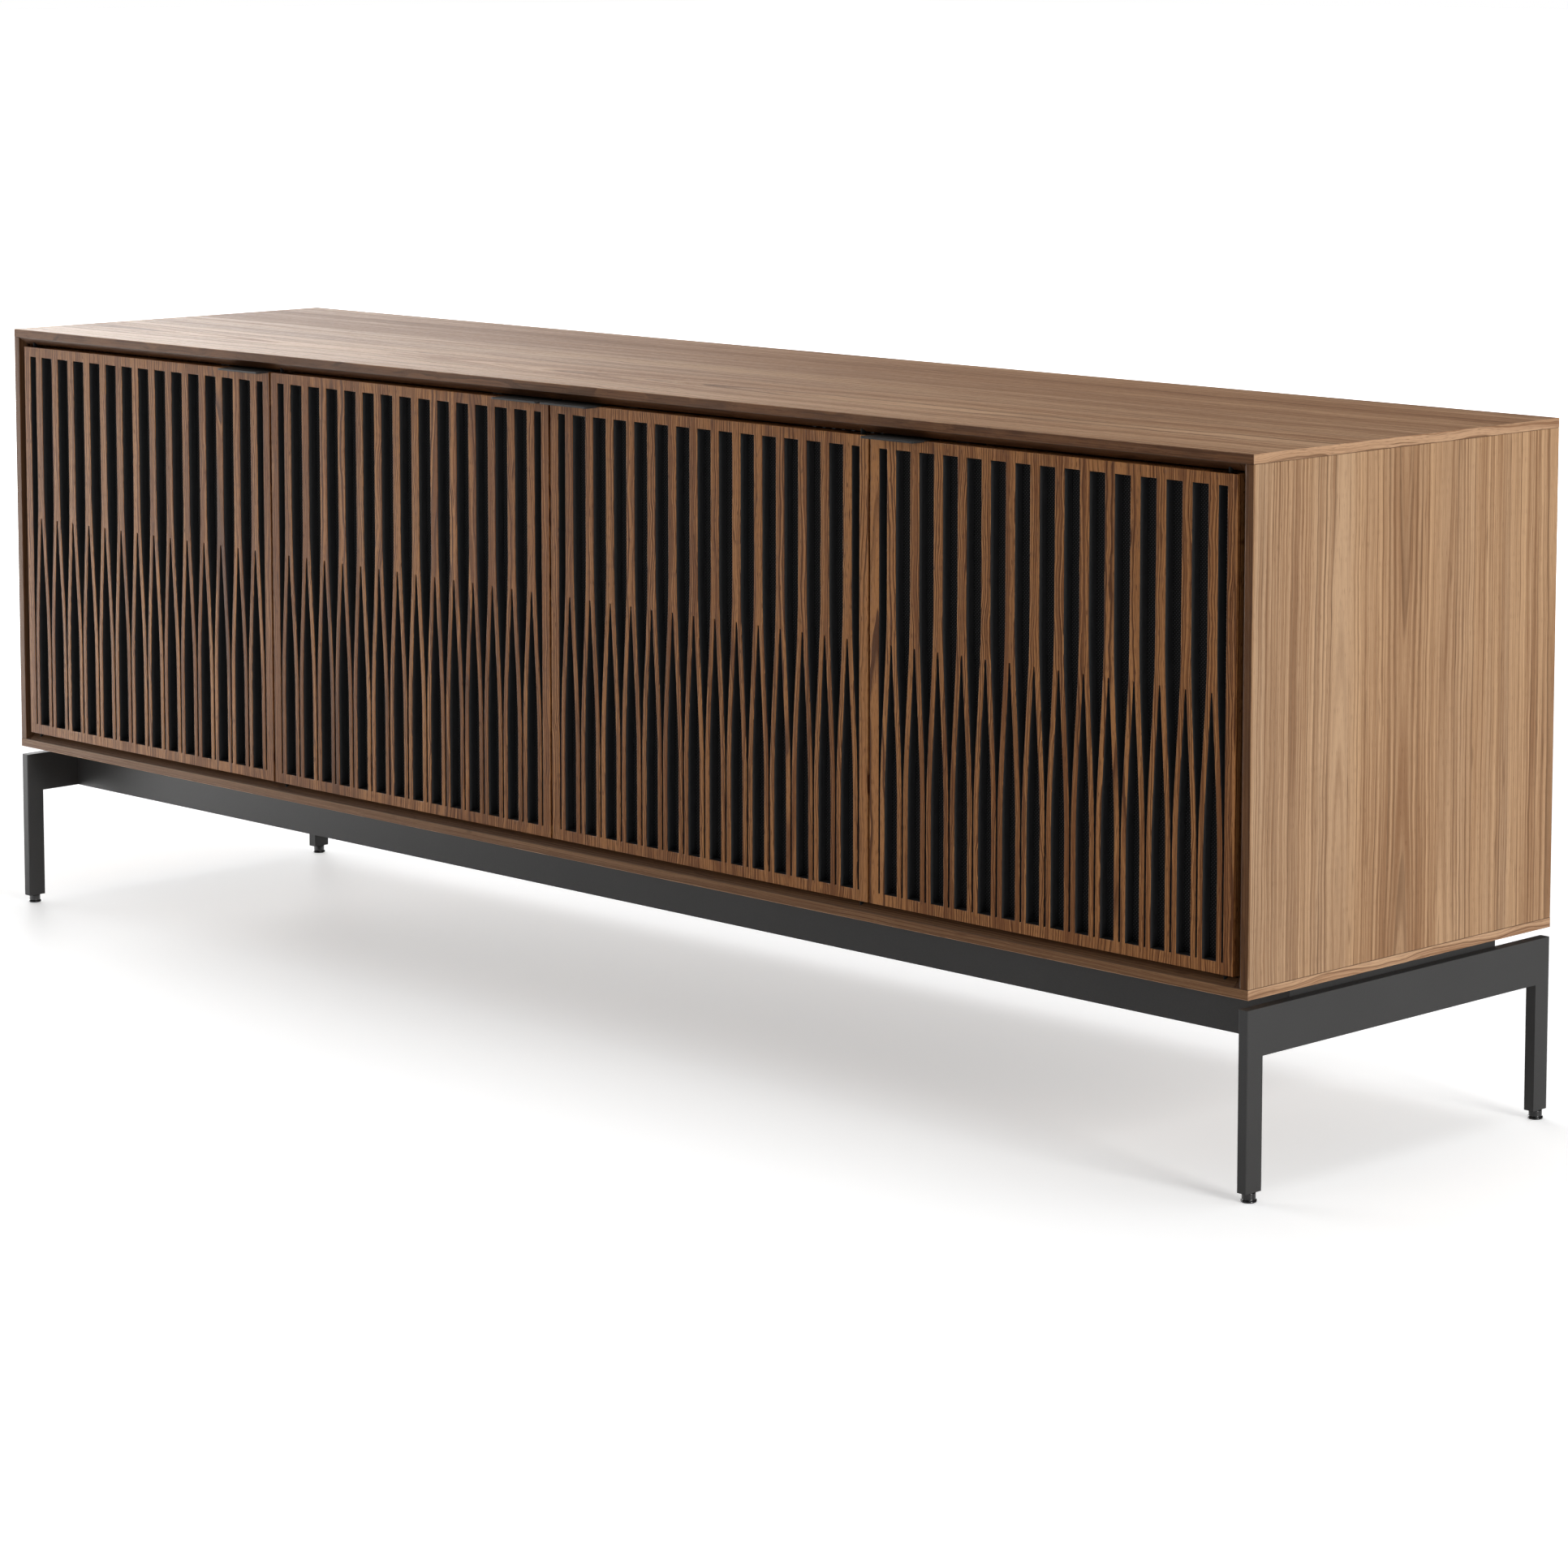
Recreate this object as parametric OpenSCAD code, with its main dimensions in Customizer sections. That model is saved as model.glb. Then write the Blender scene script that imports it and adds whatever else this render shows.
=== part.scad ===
// Low media cabinet: a veneered case with four grille doors, carried on a steel base.
// Millimetres. X is the width, the doors face -Y, and Z = 0 is the floor under the levelling feet.

/* [Case] */
// Overall width of the case
case_w = 2007; // [1700:1:2300]
// Overall depth of the case
case_d = 484; // [420:1:560]
// Height of the case, without its base
case_h = 528; // [460:1:620]
// Thickness of the case panels and the dividers
panel_t = 18; // [17:0.5:20]
// Width of the flat front edge that frames the doors, and of the lip over the side panels
front_lip = 10; // [8:0.5:12]
// Depth of the rear rebate that the back panels sit in
rebate_d = 8; // [7:0.5:12]
// How far behind the case front the dividers start
divider_inset = 30; // [28:1:60]

/* [Shelves] */
// Thickness of a shelf
shelf_t = 18; // [14:1:22]
// How far behind the case front the shelves start
shelf_inset = 40; // [32:1:80]
// Gap between a shelf's rear edge and the back panel, for cables
cable_gap = 30; // [15:1:60]
// Gap at each end of a shelf
shelf_end_gap = 1; // [0.5:0.1:2]
// Diameter of the shelf pins
pin_d = 5; // [4:0.5:6]
// How deep a shelf pin sits in its hole
pin_depth = 8; // [5:0.5:8]
// How far a shelf pin reaches under the shelf
pin_reach = 9; // [6:0.5:12]
// Spacing of the shelf-pin holes up the panels
pin_pitch = 32; // [25:1:40]
// Shelf-pin holes in each row
pin_rows = 7; // [3:2:9]
// Distance of each row of pin holes from a shelf's front or rear edge
pin_row_inset = 50; // [30:1:80]
// Clearance round a shelf pin in its hole, on the diameter
pin_play = 0.2; // [0.1:0.05:0.4]

/* [Back panels] */
// Thickness of a back panel
back_t = 6; // [4:0.5:6.5]
// Gap round the edge of each back panel
back_gap = 0.5; // [0.2:0.1:1]
// Distance of the back panels' screws from the case floor and ceiling
back_screw_edge = 40; // [20:1:80]
// Diameter of the cable hole in each back panel
cable_hole_d = 60; // [40:1:80]
// Height of a cable hole's centre above the case floor
cable_hole_z = 75; // [60:1:120]
// Ventilation slots in each back panel
vent_count = 9; // [3:2:15]
// Width of a ventilation slot
vent_w = 5; // [3:0.5:8]
// Length of a ventilation slot
vent_l = 70; // [40:1:100]
// Spacing of the ventilation slots
vent_pitch = 16; // [12:1:24]
// Distance from the case ceiling to the top of the ventilation slots
vent_drop = 45; // [30:1:80]
// Width of a cable grommet's flange beyond its hole
grommet_lip = 5; // [3:0.5:8]
// Wall of a cable grommet
grommet_wall = 4; // [2:0.5:6]
// Thickness of a cable grommet's flange
grommet_t = 1.6; // [1:0.1:1.8]

/* [Doors] */
// Gap between neighbouring doors
door_gap = 3; // [2.5:0.1:5]
// Gap between an outer door and the side of the case
door_side_gap = 2; // [2:0.1:4]
// Gap above the doors
door_top_gap = 3; // [2.5:0.1:6]
// Gap below the doors
door_bottom_gap = 2; // [1.5:0.1:5]
// How far the doors' faces lie behind the case front
door_set_back = 0.5; // [0:0.1:3]
// Thickness of the slotted front panel of a door
grille_t = 12; // [11:0.5:15]
// Thickness of the frame behind the slotted panel
frame_t = 8; // [6:0.5:12]
// Width of the rear frame's stiles and rails
frame_w = 40; // [30:1:60]
// Thickness of the speaker cloth behind the slots
cloth_t = 1; // [0.6:0.1:2]
// Distance from the door's edges to the rebate that holds the cloth
cloth_inset = 6; // [4:0.5:9]
// Gap round the edge of the cloth in its rebate
cloth_gap = 0.3; // [0.1:0.1:1]

/* [Grille] */
// Width of the plain edge left above and below the slots
grille_rail = 12; // [10:0.5:20]
// Least width of the plain edge left beside the slots
grille_stile = 12.5; // [11:0.5:25]
// Spacing aimed at between bars, adjusted to a whole number of bars
bar_pitch = 33; // [28:0.5:45]
// Width of each of the two strips that make up a bar
strip_w = 6.2; // [4:0.1:8]
// Width of the slit left between neighbouring strips at the bottom
slit_w = 2.4; // [1.5:0.1:5]
// Height above the door's bottom edge at which the strips start to part
sway_top = 319; // [290:1:340]
// Height above the door's bottom edge at which the strips are upright again
sway_bottom = 106; // [60:1:140]
// Height above the door's bottom edge of the tip where a bar forks
fork_tip = 273; // [230:1:285]
// Width of the fork's opening at its tip
fork_tip_w = 1.6; // [1:0.1:3]

/* [Door hardware] */
// Distance of a door's pivot from its hinged edge
pivot_inset = 14; // [12:0.5:20]
// Distance of a door's pivot behind its face
pivot_depth = 7; // [6:0.5:8]
// Diameter of the pivot pins
pivot_d = 5; // [4:0.5:6]
// Running clearance between pivot pin and plate, on the radius
pivot_play = 0.05; // [0.02:0.01:0.1]
// Length of pivot pin held in the case
pivot_seat = 8; // [6:0.5:9]
// Length of pivot pin inside the door
pivot_engage = 7; // [5:0.5:9]
// Length of a pivot plate
plate_l = 36; // [30:1:45]
// Width of a pivot plate
plate_w = 9; // [8:0.5:10]
// Thickness of a pivot plate
plate_t = 2.5; // [2:0.5:4]
// Distance of a pivot plate from the door's hinged edge
plate_inset = 4; // [2:0.5:6]
// Width of a door pull
pull_w = 75; // [60:1:120]
// How far a pull reaches in front of the door
pull_reach = 17; // [10:0.5:25]
// Thickness of a pull's steel
pull_t = 2; // [1.5:0.1:2.5]
// How deep a pull is let into the door's top edge
pull_let_in = 1; // [0.5:0.1:1.5]
// Distance of a pull from the door's free edge
pull_inset = 1.5; // [1:0.1:10]
// Length of the flange down the door's back
pull_flange = 18; // [14:1:30]
// Radius of a pull's front corners
pull_corner = 2; // [0.5:0.5:5]
// Distance between the screws of a catch
catch_screw_w = 25; // [24:1:40]
// Width of a catch's body
catch_body_w = 16; // [12:1:18]
// Thickness of a catch's ears
catch_ear_t = 3; // [2:0.5:5]
// Height of a catch
catch_h = 14; // [10:1:20]
// Length of a catch from front to back
catch_l = 26; // [18:1:40]
// Distance of a catch's centre from the door's free edge
catch_inset = 110; // [100:1:160]
// Width of a striking plate
strike_w = 34; // [24:1:50]
// Thickness of a striking plate
strike_t = 1.5; // [1:0.1:2]
// Gap between striking plate and catch with the door shut
catch_gap = 0.3; // [0.2:0.1:0.6]
// Diameter of the small screws in the hardware and the back panels
screw_d = 3; // [2.5:0.5:4]
// How deep the small screws go into the wood
screw_l = 6; // [4:0.5:8]

/* [Base] */
// Height from the end of the legs to the underside of the case
base_h = 191; // [150:1:260]
// Thickness of the end frames
end_frame_t = 12; // [10:0.5:15]
// Width of the legs, front to back
leg_w = 23; // [20:0.5:40]
// Height of an end frame's top rail
end_rail_h = 47.5; // [40:0.5:60]
// Gap between an end frame and the underside of the case
end_frame_drop = 10.2; // [6:0.1:16]
// Radius of the legs' outer edges
leg_corner = 1.5; // [0.5:0.5:3]
// How far the beams stand behind the case front, and before its back
beam_inset = 77; // [60:1:110]
// Width of the beams' tube
beam_w = 25; // [25:1:40]
// Wall of the base tubes
tube_wall = 2; // [1.5:0.5:3]
// Height of the two cross braces
brace_h = 38; // [25:1:45]
// Diameter of the bolts that hold the end frames
bolt_d = 8; // [6:1:10]
// Distance of the end-frame bolts from the middle
bolt_y = 105; // [70:1:115]
// Diameter of the screws that hold the case to its base
case_screw_d = 6; // [5:0.5:7]
// Distance of the outer case screws from the middle
case_screw_x = 800; // [600:10:820]

/* [Levelling feet] */
// Height of foot that shows under a leg
foot_h = 10; // [8:0.5:16]
// Diameter of a foot's flange
foot_d = 16; // [15:0.5:30]
// Thickness of a foot's flange
foot_flange_t = 2.6; // [1.5:0.1:4]
// Radius of the edge at a foot's shoulder
foot_break = 0.6; // [0.2:0.1:1]
// Diameter of a foot above its flange
foot_neck_d = 13.8; // [11:0.1:14.5]
// Diameter of a foot's stem
stem_d = 8; // [6:0.5:8]
// Length of a foot's stem
stem_l = 30; // [20:1:50]
// Running clearance of a stem in its leg, on the radius
stem_play = 0.05; // [0.02:0.01:0.1]

/* [Hidden] */
$fn = 48;
cut = 1;        // how far a cutter runs past the face it cuts
small = 0.01;   // least overlap that joins two shapes
steps = 12;     // chords in the curved part of a strip
chord_least = 6;    // least height of the chord below a fork's tip

// Case, in the shared frame
half_w = case_w / 2;
y_front = -case_d / 2;
y_back = case_d / 2;
z_leg = foot_h;
z_case = z_leg + base_h;
z_top = z_case + case_h;
lap = panel_t - front_lip;           // depth of every rabbet, and of the bevel round the doors
x_in = half_w - panel_t;
z_floor = z_case + panel_t;
z_ceiling = z_top - panel_t;
y_rebate = y_back - rebate_d;

// Doors: 1 and 2 are hinged on the left, 3 and 4 on the right
door_count = 4;
door_w = (2 * x_in - 2 * door_side_gap - (door_count - 1) * door_gap) / door_count;
door_h = z_ceiling - z_floor - door_top_gap - door_bottom_gap;
door_t = grille_t + frame_t;
door_y = y_front + door_set_back;
door_z = z_floor + door_bottom_gap;
function door_left(k) = -x_in + door_side_gap + (k - 1) * (door_w + door_gap);
function hinged_left(k) = k <= door_count / 2;
function door_x(k, x) = hinged_left(k) ? door_left(k) + x : door_left(k) + door_w - x;

// Dividers stand behind the gaps between doors 1 and 2, and 3 and 4
divider_x = door_left(4) - door_gap / 2;
bays = [[-x_in, -divider_x - panel_t / 2],
        [-divider_x + panel_t / 2, divider_x - panel_t / 2],
        [divider_x + panel_t / 2, x_in]];
y_shelf = y_front + shelf_inset;
y_shelf_end = y_rebate - cable_gap;
pin_ys = [y_shelf + pin_row_inset, y_shelf_end - pin_row_inset];
pin_hole_d = pin_d + pin_play;
pin_mid_z = (z_floor + z_ceiling) / 2 - shelf_t / 2 - pin_d / 2;
pin_zs = [for (i = [0 : pin_rows - 1]) pin_mid_z + (i - (pin_rows - 1) / 2) * pin_pitch];
shelf_z = pin_mid_z + pin_d / 2;

// Grille: bars at whole pitches, each of two strips that part below the fork
bars = round((door_w - 2 * grille_stile - slit_w) / bar_pitch);
pitch = (door_w - 2 * grille_stile - slit_w) / bars;
sway = (pitch - 2 * strip_w - slit_w) / 2;

// Door hardware
screw_head_d = 2 * screw_d;
screw_head_h = (screw_head_d - screw_d) / 2;
pull_x0 = door_w - pull_inset - pull_w;
pull_clear = 0.2;                    // gap round a pull in its housing
strike_h = catch_h - 2;
strike_top = 2;                      // striking plate's distance below the door's top edge

// Base
x_frame = half_w - end_frame_t;      // inner face of an end frame
z_frame = z_case - end_frame_drop;
z_rail = z_frame - end_rail_h;       // underside of the end rails and of the beams
beam_h = z_case - z_rail;
y_beam = y_front + beam_inset;
y_brace = y_beam + beam_w;
bolt_z = (z_frame + z_rail) / 2;
bolt_seat = end_frame_t * 0.7;       // how far the bolts reach into the end frames
bolt_head = [bolt_d * 1.75, bolt_d * 0.6];      // diameter and height
case_screw_seat = panel_t * 0.7;
case_screw_head = [case_screw_d * 2, case_screw_d * 0.6];
access_play = 2;                     // clearance on the diameter of the holes that the heads pass
hole_play = 0.4;                     // clearance on the diameter of a bolt hole
thread_play = 0.2;                   // clearance on the diameter that stands for a thread
blind_gap = 0.3;                     // left past the end of a screw, bolt or pin in a blind hole
stem_well = 12;                      // bore left above a stem

// Colours
walnut = "#8a6444";
walnut_pale = "#b08a66";
steel_dark = "#3a3b3c";
steel_bright = "#b9bcc0";
cloth_black = "#1b1c1e";
plastic_black = "#161616";

// ---------- Helpers ----------

// A block between two corners
module block(a, b) {
    translate(a) cube(b - a);
}

// The flared front opening: square to the doors behind, wider by the bevel at the front
module front_flare() {
    reach = lap + cut;
    intersection() {
        translate([0, 0, z_case - cut]) linear_extrude(case_h + 2 * cut)
            polygon([[-x_in, y_front + lap], [x_in, y_front + lap],
                     [x_in + reach, y_front - cut], [-x_in - reach, y_front - cut]]);
        translate([-half_w, 0, 0]) rotate([90, 0, 90]) linear_extrude(case_w)
            polygon([[y_front + lap, z_floor], [y_front + lap, z_ceiling],
                     [y_front - cut, z_ceiling + reach], [y_front - cut, z_floor - reach]]);
    }
}

// The rear rebate round all the back panels
module rear_rebate() {
    block([-x_in - lap, y_rebate, z_floor - lap], [x_in + lap, y_back + cut, z_ceiling + lap]);
}

// Both columns of shelf-pin holes, drilled from the plane x towards the side s
module pin_holes(x, s) {
    for (y = pin_ys, z = pin_zs)
        translate([x - s * cut, y, z]) rotate([0, s * 90, 0])
            cylinder(h = pin_depth + cut, d = pin_hole_d);
}

// Something repeated at the pivot of each door
module at_pivots() {
    for (k = [1 : door_count])
        translate([door_x(k, pivot_inset), door_y + pivot_depth, 0]) children();
}

// A small countersunk screw that points along -Z, its head flush at z = 0, holding down a plate
module small_screw(plate) {
    translate([0, 0, -screw_head_h]) cylinder(h = screw_head_h, d1 = screw_d, d2 = screw_head_d);
    translate([0, 0, -plate - screw_l]) cylinder(h = plate + screw_l - screw_head_h, d = screw_d);
}

// The hole for a small screw, in its plate and in the wood below
module small_screw_hole(plate) {
    translate([0, 0, -screw_head_h])
        cylinder(h = screw_head_h, d1 = screw_d + thread_play, d2 = screw_head_d + thread_play);
    translate([0, 0, -small]) cylinder(h = cut, d = screw_head_d + thread_play);
    translate([0, 0, -plate - screw_l - blind_gap])
        cylinder(h = plate + screw_l + blind_gap, d = screw_d + thread_play);
}

// Places a door part that is drawn with its hinged edge at x = 0 and its face at y = 0
module in_door(k) {
    translate([door_x(k, 0), door_y, door_z]) mirror([hinged_left(k) ? 0 : 1, 0, 0]) children();
}

// ---------- Case ----------

module top_panel() {
    color(walnut_pale) difference() {
        block([-half_w, y_front, z_ceiling], [half_w, y_back, z_top]);
        for (s = [-1, 1])
            block([s > 0 ? x_in : -half_w - cut, y_front - cut, z_ceiling - cut],
                  [s > 0 ? half_w + cut : -x_in, y_back + cut, z_top - front_lip]);
        front_flare();
        rear_rebate();
        at_pivots() translate([0, 0, z_ceiling - cut])
            cylinder(h = pivot_seat + cut + blind_gap, d = pivot_d + pin_play);
        at_catch_screws() small_screw_hole(catch_ear_t);
    }
}

module bottom_panel() {
    color(walnut) difference() {
        block([-half_w, y_front, z_case], [half_w, y_back, z_floor]);
        for (s = [-1, 1])
            block([s > 0 ? x_in : -half_w - cut, y_front - cut, z_case + front_lip],
                  [s > 0 ? half_w + cut : -x_in, y_back + cut, z_floor + cut]);
        front_flare();
        rear_rebate();
        at_pivots() translate([0, 0, z_floor - pivot_seat - blind_gap])
            cylinder(h = pivot_seat + cut + blind_gap, d = pivot_d + pin_play);
        at_case_screws() translate([0, 0, z_case - cut])
            cylinder(h = case_screw_seat + cut + blind_gap, d = case_screw_d + thread_play);
    }
}

// Side panel on the side s, from rabbet to rabbet
module side_panel(s) {
    color(walnut_pale) difference() {
        block([s > 0 ? x_in : -half_w, y_front, z_case + front_lip],
              [s > 0 ? half_w : -x_in, y_back, z_top - front_lip]);
        front_flare();
        rear_rebate();
        pin_holes(s * x_in, s);
        at_back_screws() small_screw_hole(back_t);
    }
}

module divider(s) {
    x = s * divider_x;
    color(walnut) difference() {
        block([x - panel_t / 2, y_front + divider_inset, z_floor], [x + panel_t / 2, y_rebate, z_ceiling]);
        pin_holes(x - panel_t / 2, 1);
        pin_holes(x + panel_t / 2, -1);
        at_back_screws() small_screw_hole(back_t);
    }
}

module shelf(bay) {
    color(walnut) block([bay[0] + shelf_end_gap, y_shelf, shelf_z],
                        [bay[1] - shelf_end_gap, y_shelf_end, shelf_z + shelf_t]);
}

// Four pins under each shelf
module shelf_pins() {
    color(steel_bright) for (bay = bays, y = pin_ys, s = [-1, 1])
        translate([s > 0 ? bay[1] : bay[0], y, pin_mid_z]) rotate([0, -s * 90, 0])
            translate([0, 0, -pin_depth]) cylinder(h = pin_depth + pin_reach, d = pin_d);
}

// ---------- Back ----------

// The edges of the back panel behind a bay: half a divider's width, or the side panel's rebate
function back_edge(x) = abs(x) > x_in - cut ? sign(x) * (x_in + lap - back_gap)
    : sign(x) * divider_x + (abs(x) > divider_x ? sign(x) : -sign(x)) * back_gap;

function back_span(bay) = [back_edge(bay[0]), back_edge(bay[1])];

module back_panel(bay) {
    span = back_span(bay);
    mid = (span[0] + span[1]) / 2;
    vent_top = z_ceiling - vent_drop;
    color(plastic_black) difference() {
        block([span[0], y_rebate, z_floor - lap + back_gap],
              [span[1], y_rebate + back_t, z_ceiling + lap - back_gap]);
        for (i = [0 : vent_count - 1]) {
            x = mid + (i - (vent_count - 1) / 2) * vent_pitch;
            block([x - vent_w / 2, y_rebate - cut, vent_top - vent_l],
                  [x + vent_w / 2, y_rebate + back_t + cut, vent_top]);
        }
        at_cable_hole(mid) cylinder(h = back_t + 2 * cut, d = cable_hole_d);
        at_back_screws() small_screw_hole(back_t);
    }
}

// Screws stand in the middle of the side rebate, and as far to each side of a divider's middle
back_screw_xs = [for (s = [-1, 1], x = [x_in + lap / 2, divider_x + lap / 2, divider_x - lap / 2]) s * x];
back_screw_zs = [z_floor + back_screw_edge, z_ceiling - back_screw_edge];

module at_back_screws() {
    for (x = back_screw_xs, z = back_screw_zs)
        translate([x, y_rebate + back_t, z]) rotate([-90, 0, 0]) children();
}

// Turns +Z to +Y at a cable hole, with the origin just before the panel
module at_cable_hole(x) {
    translate([x, y_rebate - cut, z_floor + cable_hole_z]) rotate([-90, 0, 0]) children();
}

module back_screws() {
    color(steel_dark) at_back_screws() small_screw(back_t);
}

// Rings that line the cable holes, each with a flange behind the panel
module cable_grommets() {
    r = cable_hole_d / 2 - pin_play;
    color(plastic_black) for (bay = bays) {
        span = back_span(bay);
        at_cable_hole((span[0] + span[1]) / 2) translate([0, 0, cut]) rotate_extrude()
            polygon([[r - grommet_wall, 0], [r, 0], [r, back_t], [cable_hole_d / 2 + grommet_lip, back_t],
                     [cable_hole_d / 2 + grommet_lip, back_t + grommet_t],
                     [r - grommet_wall, back_t + grommet_t]]);
    }
}

// ---------- Doors ----------

// How far a strip has swayed at a height above the door's bottom edge, from 0 to 1
function ease(z) = let (s = max(0, min(1, (sway_top - z) / (sway_top - sway_bottom)))) s * s * (3 - 2 * s);

// Distance from a bar's centre line to its outer edge
function bar_edge(z) = strip_w + sway * ease(z);

curve_zs = [for (i = [0 : steps]) sway_top - (sway_top - sway_bottom) * i / steps];
fork_zs = concat([fork_tip], [for (z = curve_zs) if (z < fork_tip - chord_least) z], [grille_rail]);
slot_zs = concat([door_h - grille_rail], curve_zs, [grille_rail]);
function fork_edge(z) = z == fork_tip ? fork_tip_w / 2 : bar_edge(z) - strip_w;
function reversed(v) = [for (i = [len(v) - 1 : -1 : 0]) v[i]];

// Outline of an opening whose left and right edges are lists of points running downwards
function loop(left, right) = concat(left, reversed(right));

function fork(x) = loop([for (z = fork_zs) [x - fork_edge(z), z]], [for (z = fork_zs) [x + fork_edge(z), z]]);

function slot(x) = loop([for (z = slot_zs) [x - pitch / 2 + bar_edge(z), z]],
                        [for (z = slot_zs) [x + pitch / 2 - bar_edge(z), z]]);

// The half slot beside a stile: m is 1 at the hinged edge and -1 at the free edge
function end_slot(m) = let (x = m > 0 ? grille_stile : door_w - grille_stile)
    loop([for (z = slot_zs) [x, z]],
         [for (z = slot_zs) [x + m * (slit_w + sway * (1 - ease(z))), z]]);

function bar_x(i) = grille_stile + slit_w / 2 + pitch * (i + 0.5);

grille_loops = concat(
    [[[0, 0], [door_w, 0], [door_w, door_h], [0, door_h]]],
    [for (i = [0 : bars - 1]) fork(bar_x(i))],
    [for (i = [0 : bars - 2]) slot(bar_x(i) + pitch / 2)],
    [end_slot(1), end_slot(-1)]);

// Numbers the points of a list of loops one after another
function starts(loops, i = 0, n = 0) =
    i == len(loops) ? [] : concat([n], starts(loops, i + 1, n + len(loops[i])));

module cut_sheet(loops) {
    first = starts(loops);
    polygon(points = [for (l = loops, p = l) p],
            paths = [for (i = [0 : len(loops) - 1]) [for (j = [0 : len(loops[i]) - 1]) first[i] + j]]);
}

// The housing for a pull in a door's top edge
module pull_housing() {
    block([pull_x0 - pull_clear, -cut, door_h - pull_let_in],
          [door_w - pull_inset + pull_clear, door_t + cut, door_h + cut]);
}

// A pivot plate's housing, and the pin's socket below it, at the top (s = 1) or bottom (s = -1)
module pivot_housing(s) {
    z = s > 0 ? door_h : 0;
    translate([0, pivot_depth, z]) mirror([0, 0, s > 0 ? 1 : 0]) {
        block([plate_inset, -plate_w / 2, -cut], [plate_inset + plate_l, plate_w / 2, plate_t]);
        translate([pivot_inset, 0, 0]) cylinder(h = pivot_engage + blind_gap, d = pivot_d + hole_play);
    }
    at_plate_screws(s) small_screw_hole(plate_t);
}

module at_plate_screws(s) {
    for (x = [plate_inset + plate_l * 0.55, plate_inset + plate_l * 0.85])
        translate([x, pivot_depth, s > 0 ? door_h : 0]) mirror([0, 0, s > 0 ? 0 : 1]) children();
}

module grille(k) {
    color(walnut) in_door(k) difference() {
        translate([0, grille_t, 0]) rotate([90, 0, 0]) linear_extrude(grille_t) cut_sheet(grille_loops);
        pull_housing();
        pivot_housing(1);
        pivot_housing(-1);
    }
}

// Four members behind the slotted panel, rebated for the cloth, the rails between the stiles
module door_frame(k) {
    color(walnut) in_door(k) {
        for (x = [0, door_w - frame_w]) frame_member([x, 0], [x + frame_w, door_h]);
        for (z = [0, door_h - frame_w]) frame_member([frame_w, z], [door_w - frame_w, z + frame_w]);
    }
}

module frame_member(a, b) {
    difference() {
        block([a[0], grille_t, a[1]], [b[0], door_t, b[1]]);
        block([cloth_inset, grille_t - cut, cloth_inset],
              [door_w - cloth_inset, grille_t + cloth_t, door_h - cloth_inset]);
        pull_housing();
        at_pull_screws() small_screw_hole(pull_t);
        at_strike_screws() small_screw_hole(strike_t);
    }
}

module cloth(k) {
    edge = cloth_inset + cloth_gap;
    color(cloth_black) in_door(k)
        block([edge, grille_t, edge], [door_w - edge, grille_t + cloth_t, door_h - edge]);
}

module at_pull_screws() {
    for (x = [pull_x0 + pull_w * 0.2, pull_x0 + pull_w * 0.8])
        translate([x, door_t + pull_t, door_h - pull_flange / 2]) rotate([-90, 0, 0]) children();
}

// A steel tab on the door's top edge with a flange down its back
module pull(k) {
    z = door_h - pull_let_in;
    x1 = pull_x0 + pull_w;
    color(steel_dark) in_door(k) difference() {
        union() {
            block([pull_x0, pull_corner - pull_reach, z], [x1, door_t + pull_t, z + pull_t]);
            block([pull_x0 + pull_corner, -pull_reach, z], [x1 - pull_corner, 0, z + pull_t]);
            for (x = [pull_x0 + pull_corner, x1 - pull_corner])
                translate([x, pull_corner - pull_reach, z]) cylinder(h = pull_t, r = pull_corner);
            block([pull_x0, door_t, door_h - pull_flange], [x1, door_t + pull_t, z + pull_t]);
        }
        at_pull_screws() small_screw_hole(pull_t);
    }
}

module pivot_plates(k) {
    color(steel_bright) in_door(k) for (s = [-1, 1]) difference() {
        translate([0, pivot_depth, s > 0 ? door_h : 0]) mirror([0, 0, s > 0 ? 1 : 0]) difference() {
            block([plate_inset, -plate_w / 2, 0], [plate_inset + plate_l, plate_w / 2, plate_t]);
            translate([pivot_inset, 0, -cut])
                cylinder(h = plate_t + 2 * cut, r = pivot_d / 2 + pivot_play);
        }
        at_plate_screws(s) small_screw_hole(plate_t);
    }
}

// The steel plate that the magnet of the catch holds
strike_x = door_w - catch_inset;

module at_strike_screws() {
    z = door_h - strike_top - strike_h / 2;
    for (s = [-1, 1])
        translate([strike_x + s * strike_w * 0.3, door_t + strike_t, z]) rotate([-90, 0, 0]) children();
}

module strike(k) {
    color(steel_bright) in_door(k) difference() {
        block([strike_x - strike_w / 2, door_t, door_h - strike_top - strike_h],
              [strike_x + strike_w / 2, door_t + strike_t, door_h - strike_top]);
        at_strike_screws() small_screw_hole(strike_t);
    }
}

module door_screws(k) {
    color(steel_bright) in_door(k) {
        for (s = [-1, 1]) at_plate_screws(s) small_screw(plate_t);
        at_pull_screws() small_screw(pull_t);
        at_strike_screws() small_screw(strike_t);
    }
}

// Pins pressed into the case above and below each door, on one line
module pivot_pins() {
    color(steel_dark) at_pivots() {
        translate([0, 0, z_floor - pivot_seat])
            cylinder(h = pivot_seat + door_bottom_gap + pivot_engage, d = pivot_d);
        translate([0, 0, z_ceiling - door_top_gap - pivot_engage])
            cylinder(h = pivot_seat + door_top_gap + pivot_engage, d = pivot_d);
    }
}

// Magnet housings under the top panel, behind each door's free corner: a body between two ears
y_catch = door_y + door_t + strike_t + catch_gap;
catch_ear_r = screw_head_d;

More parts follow.
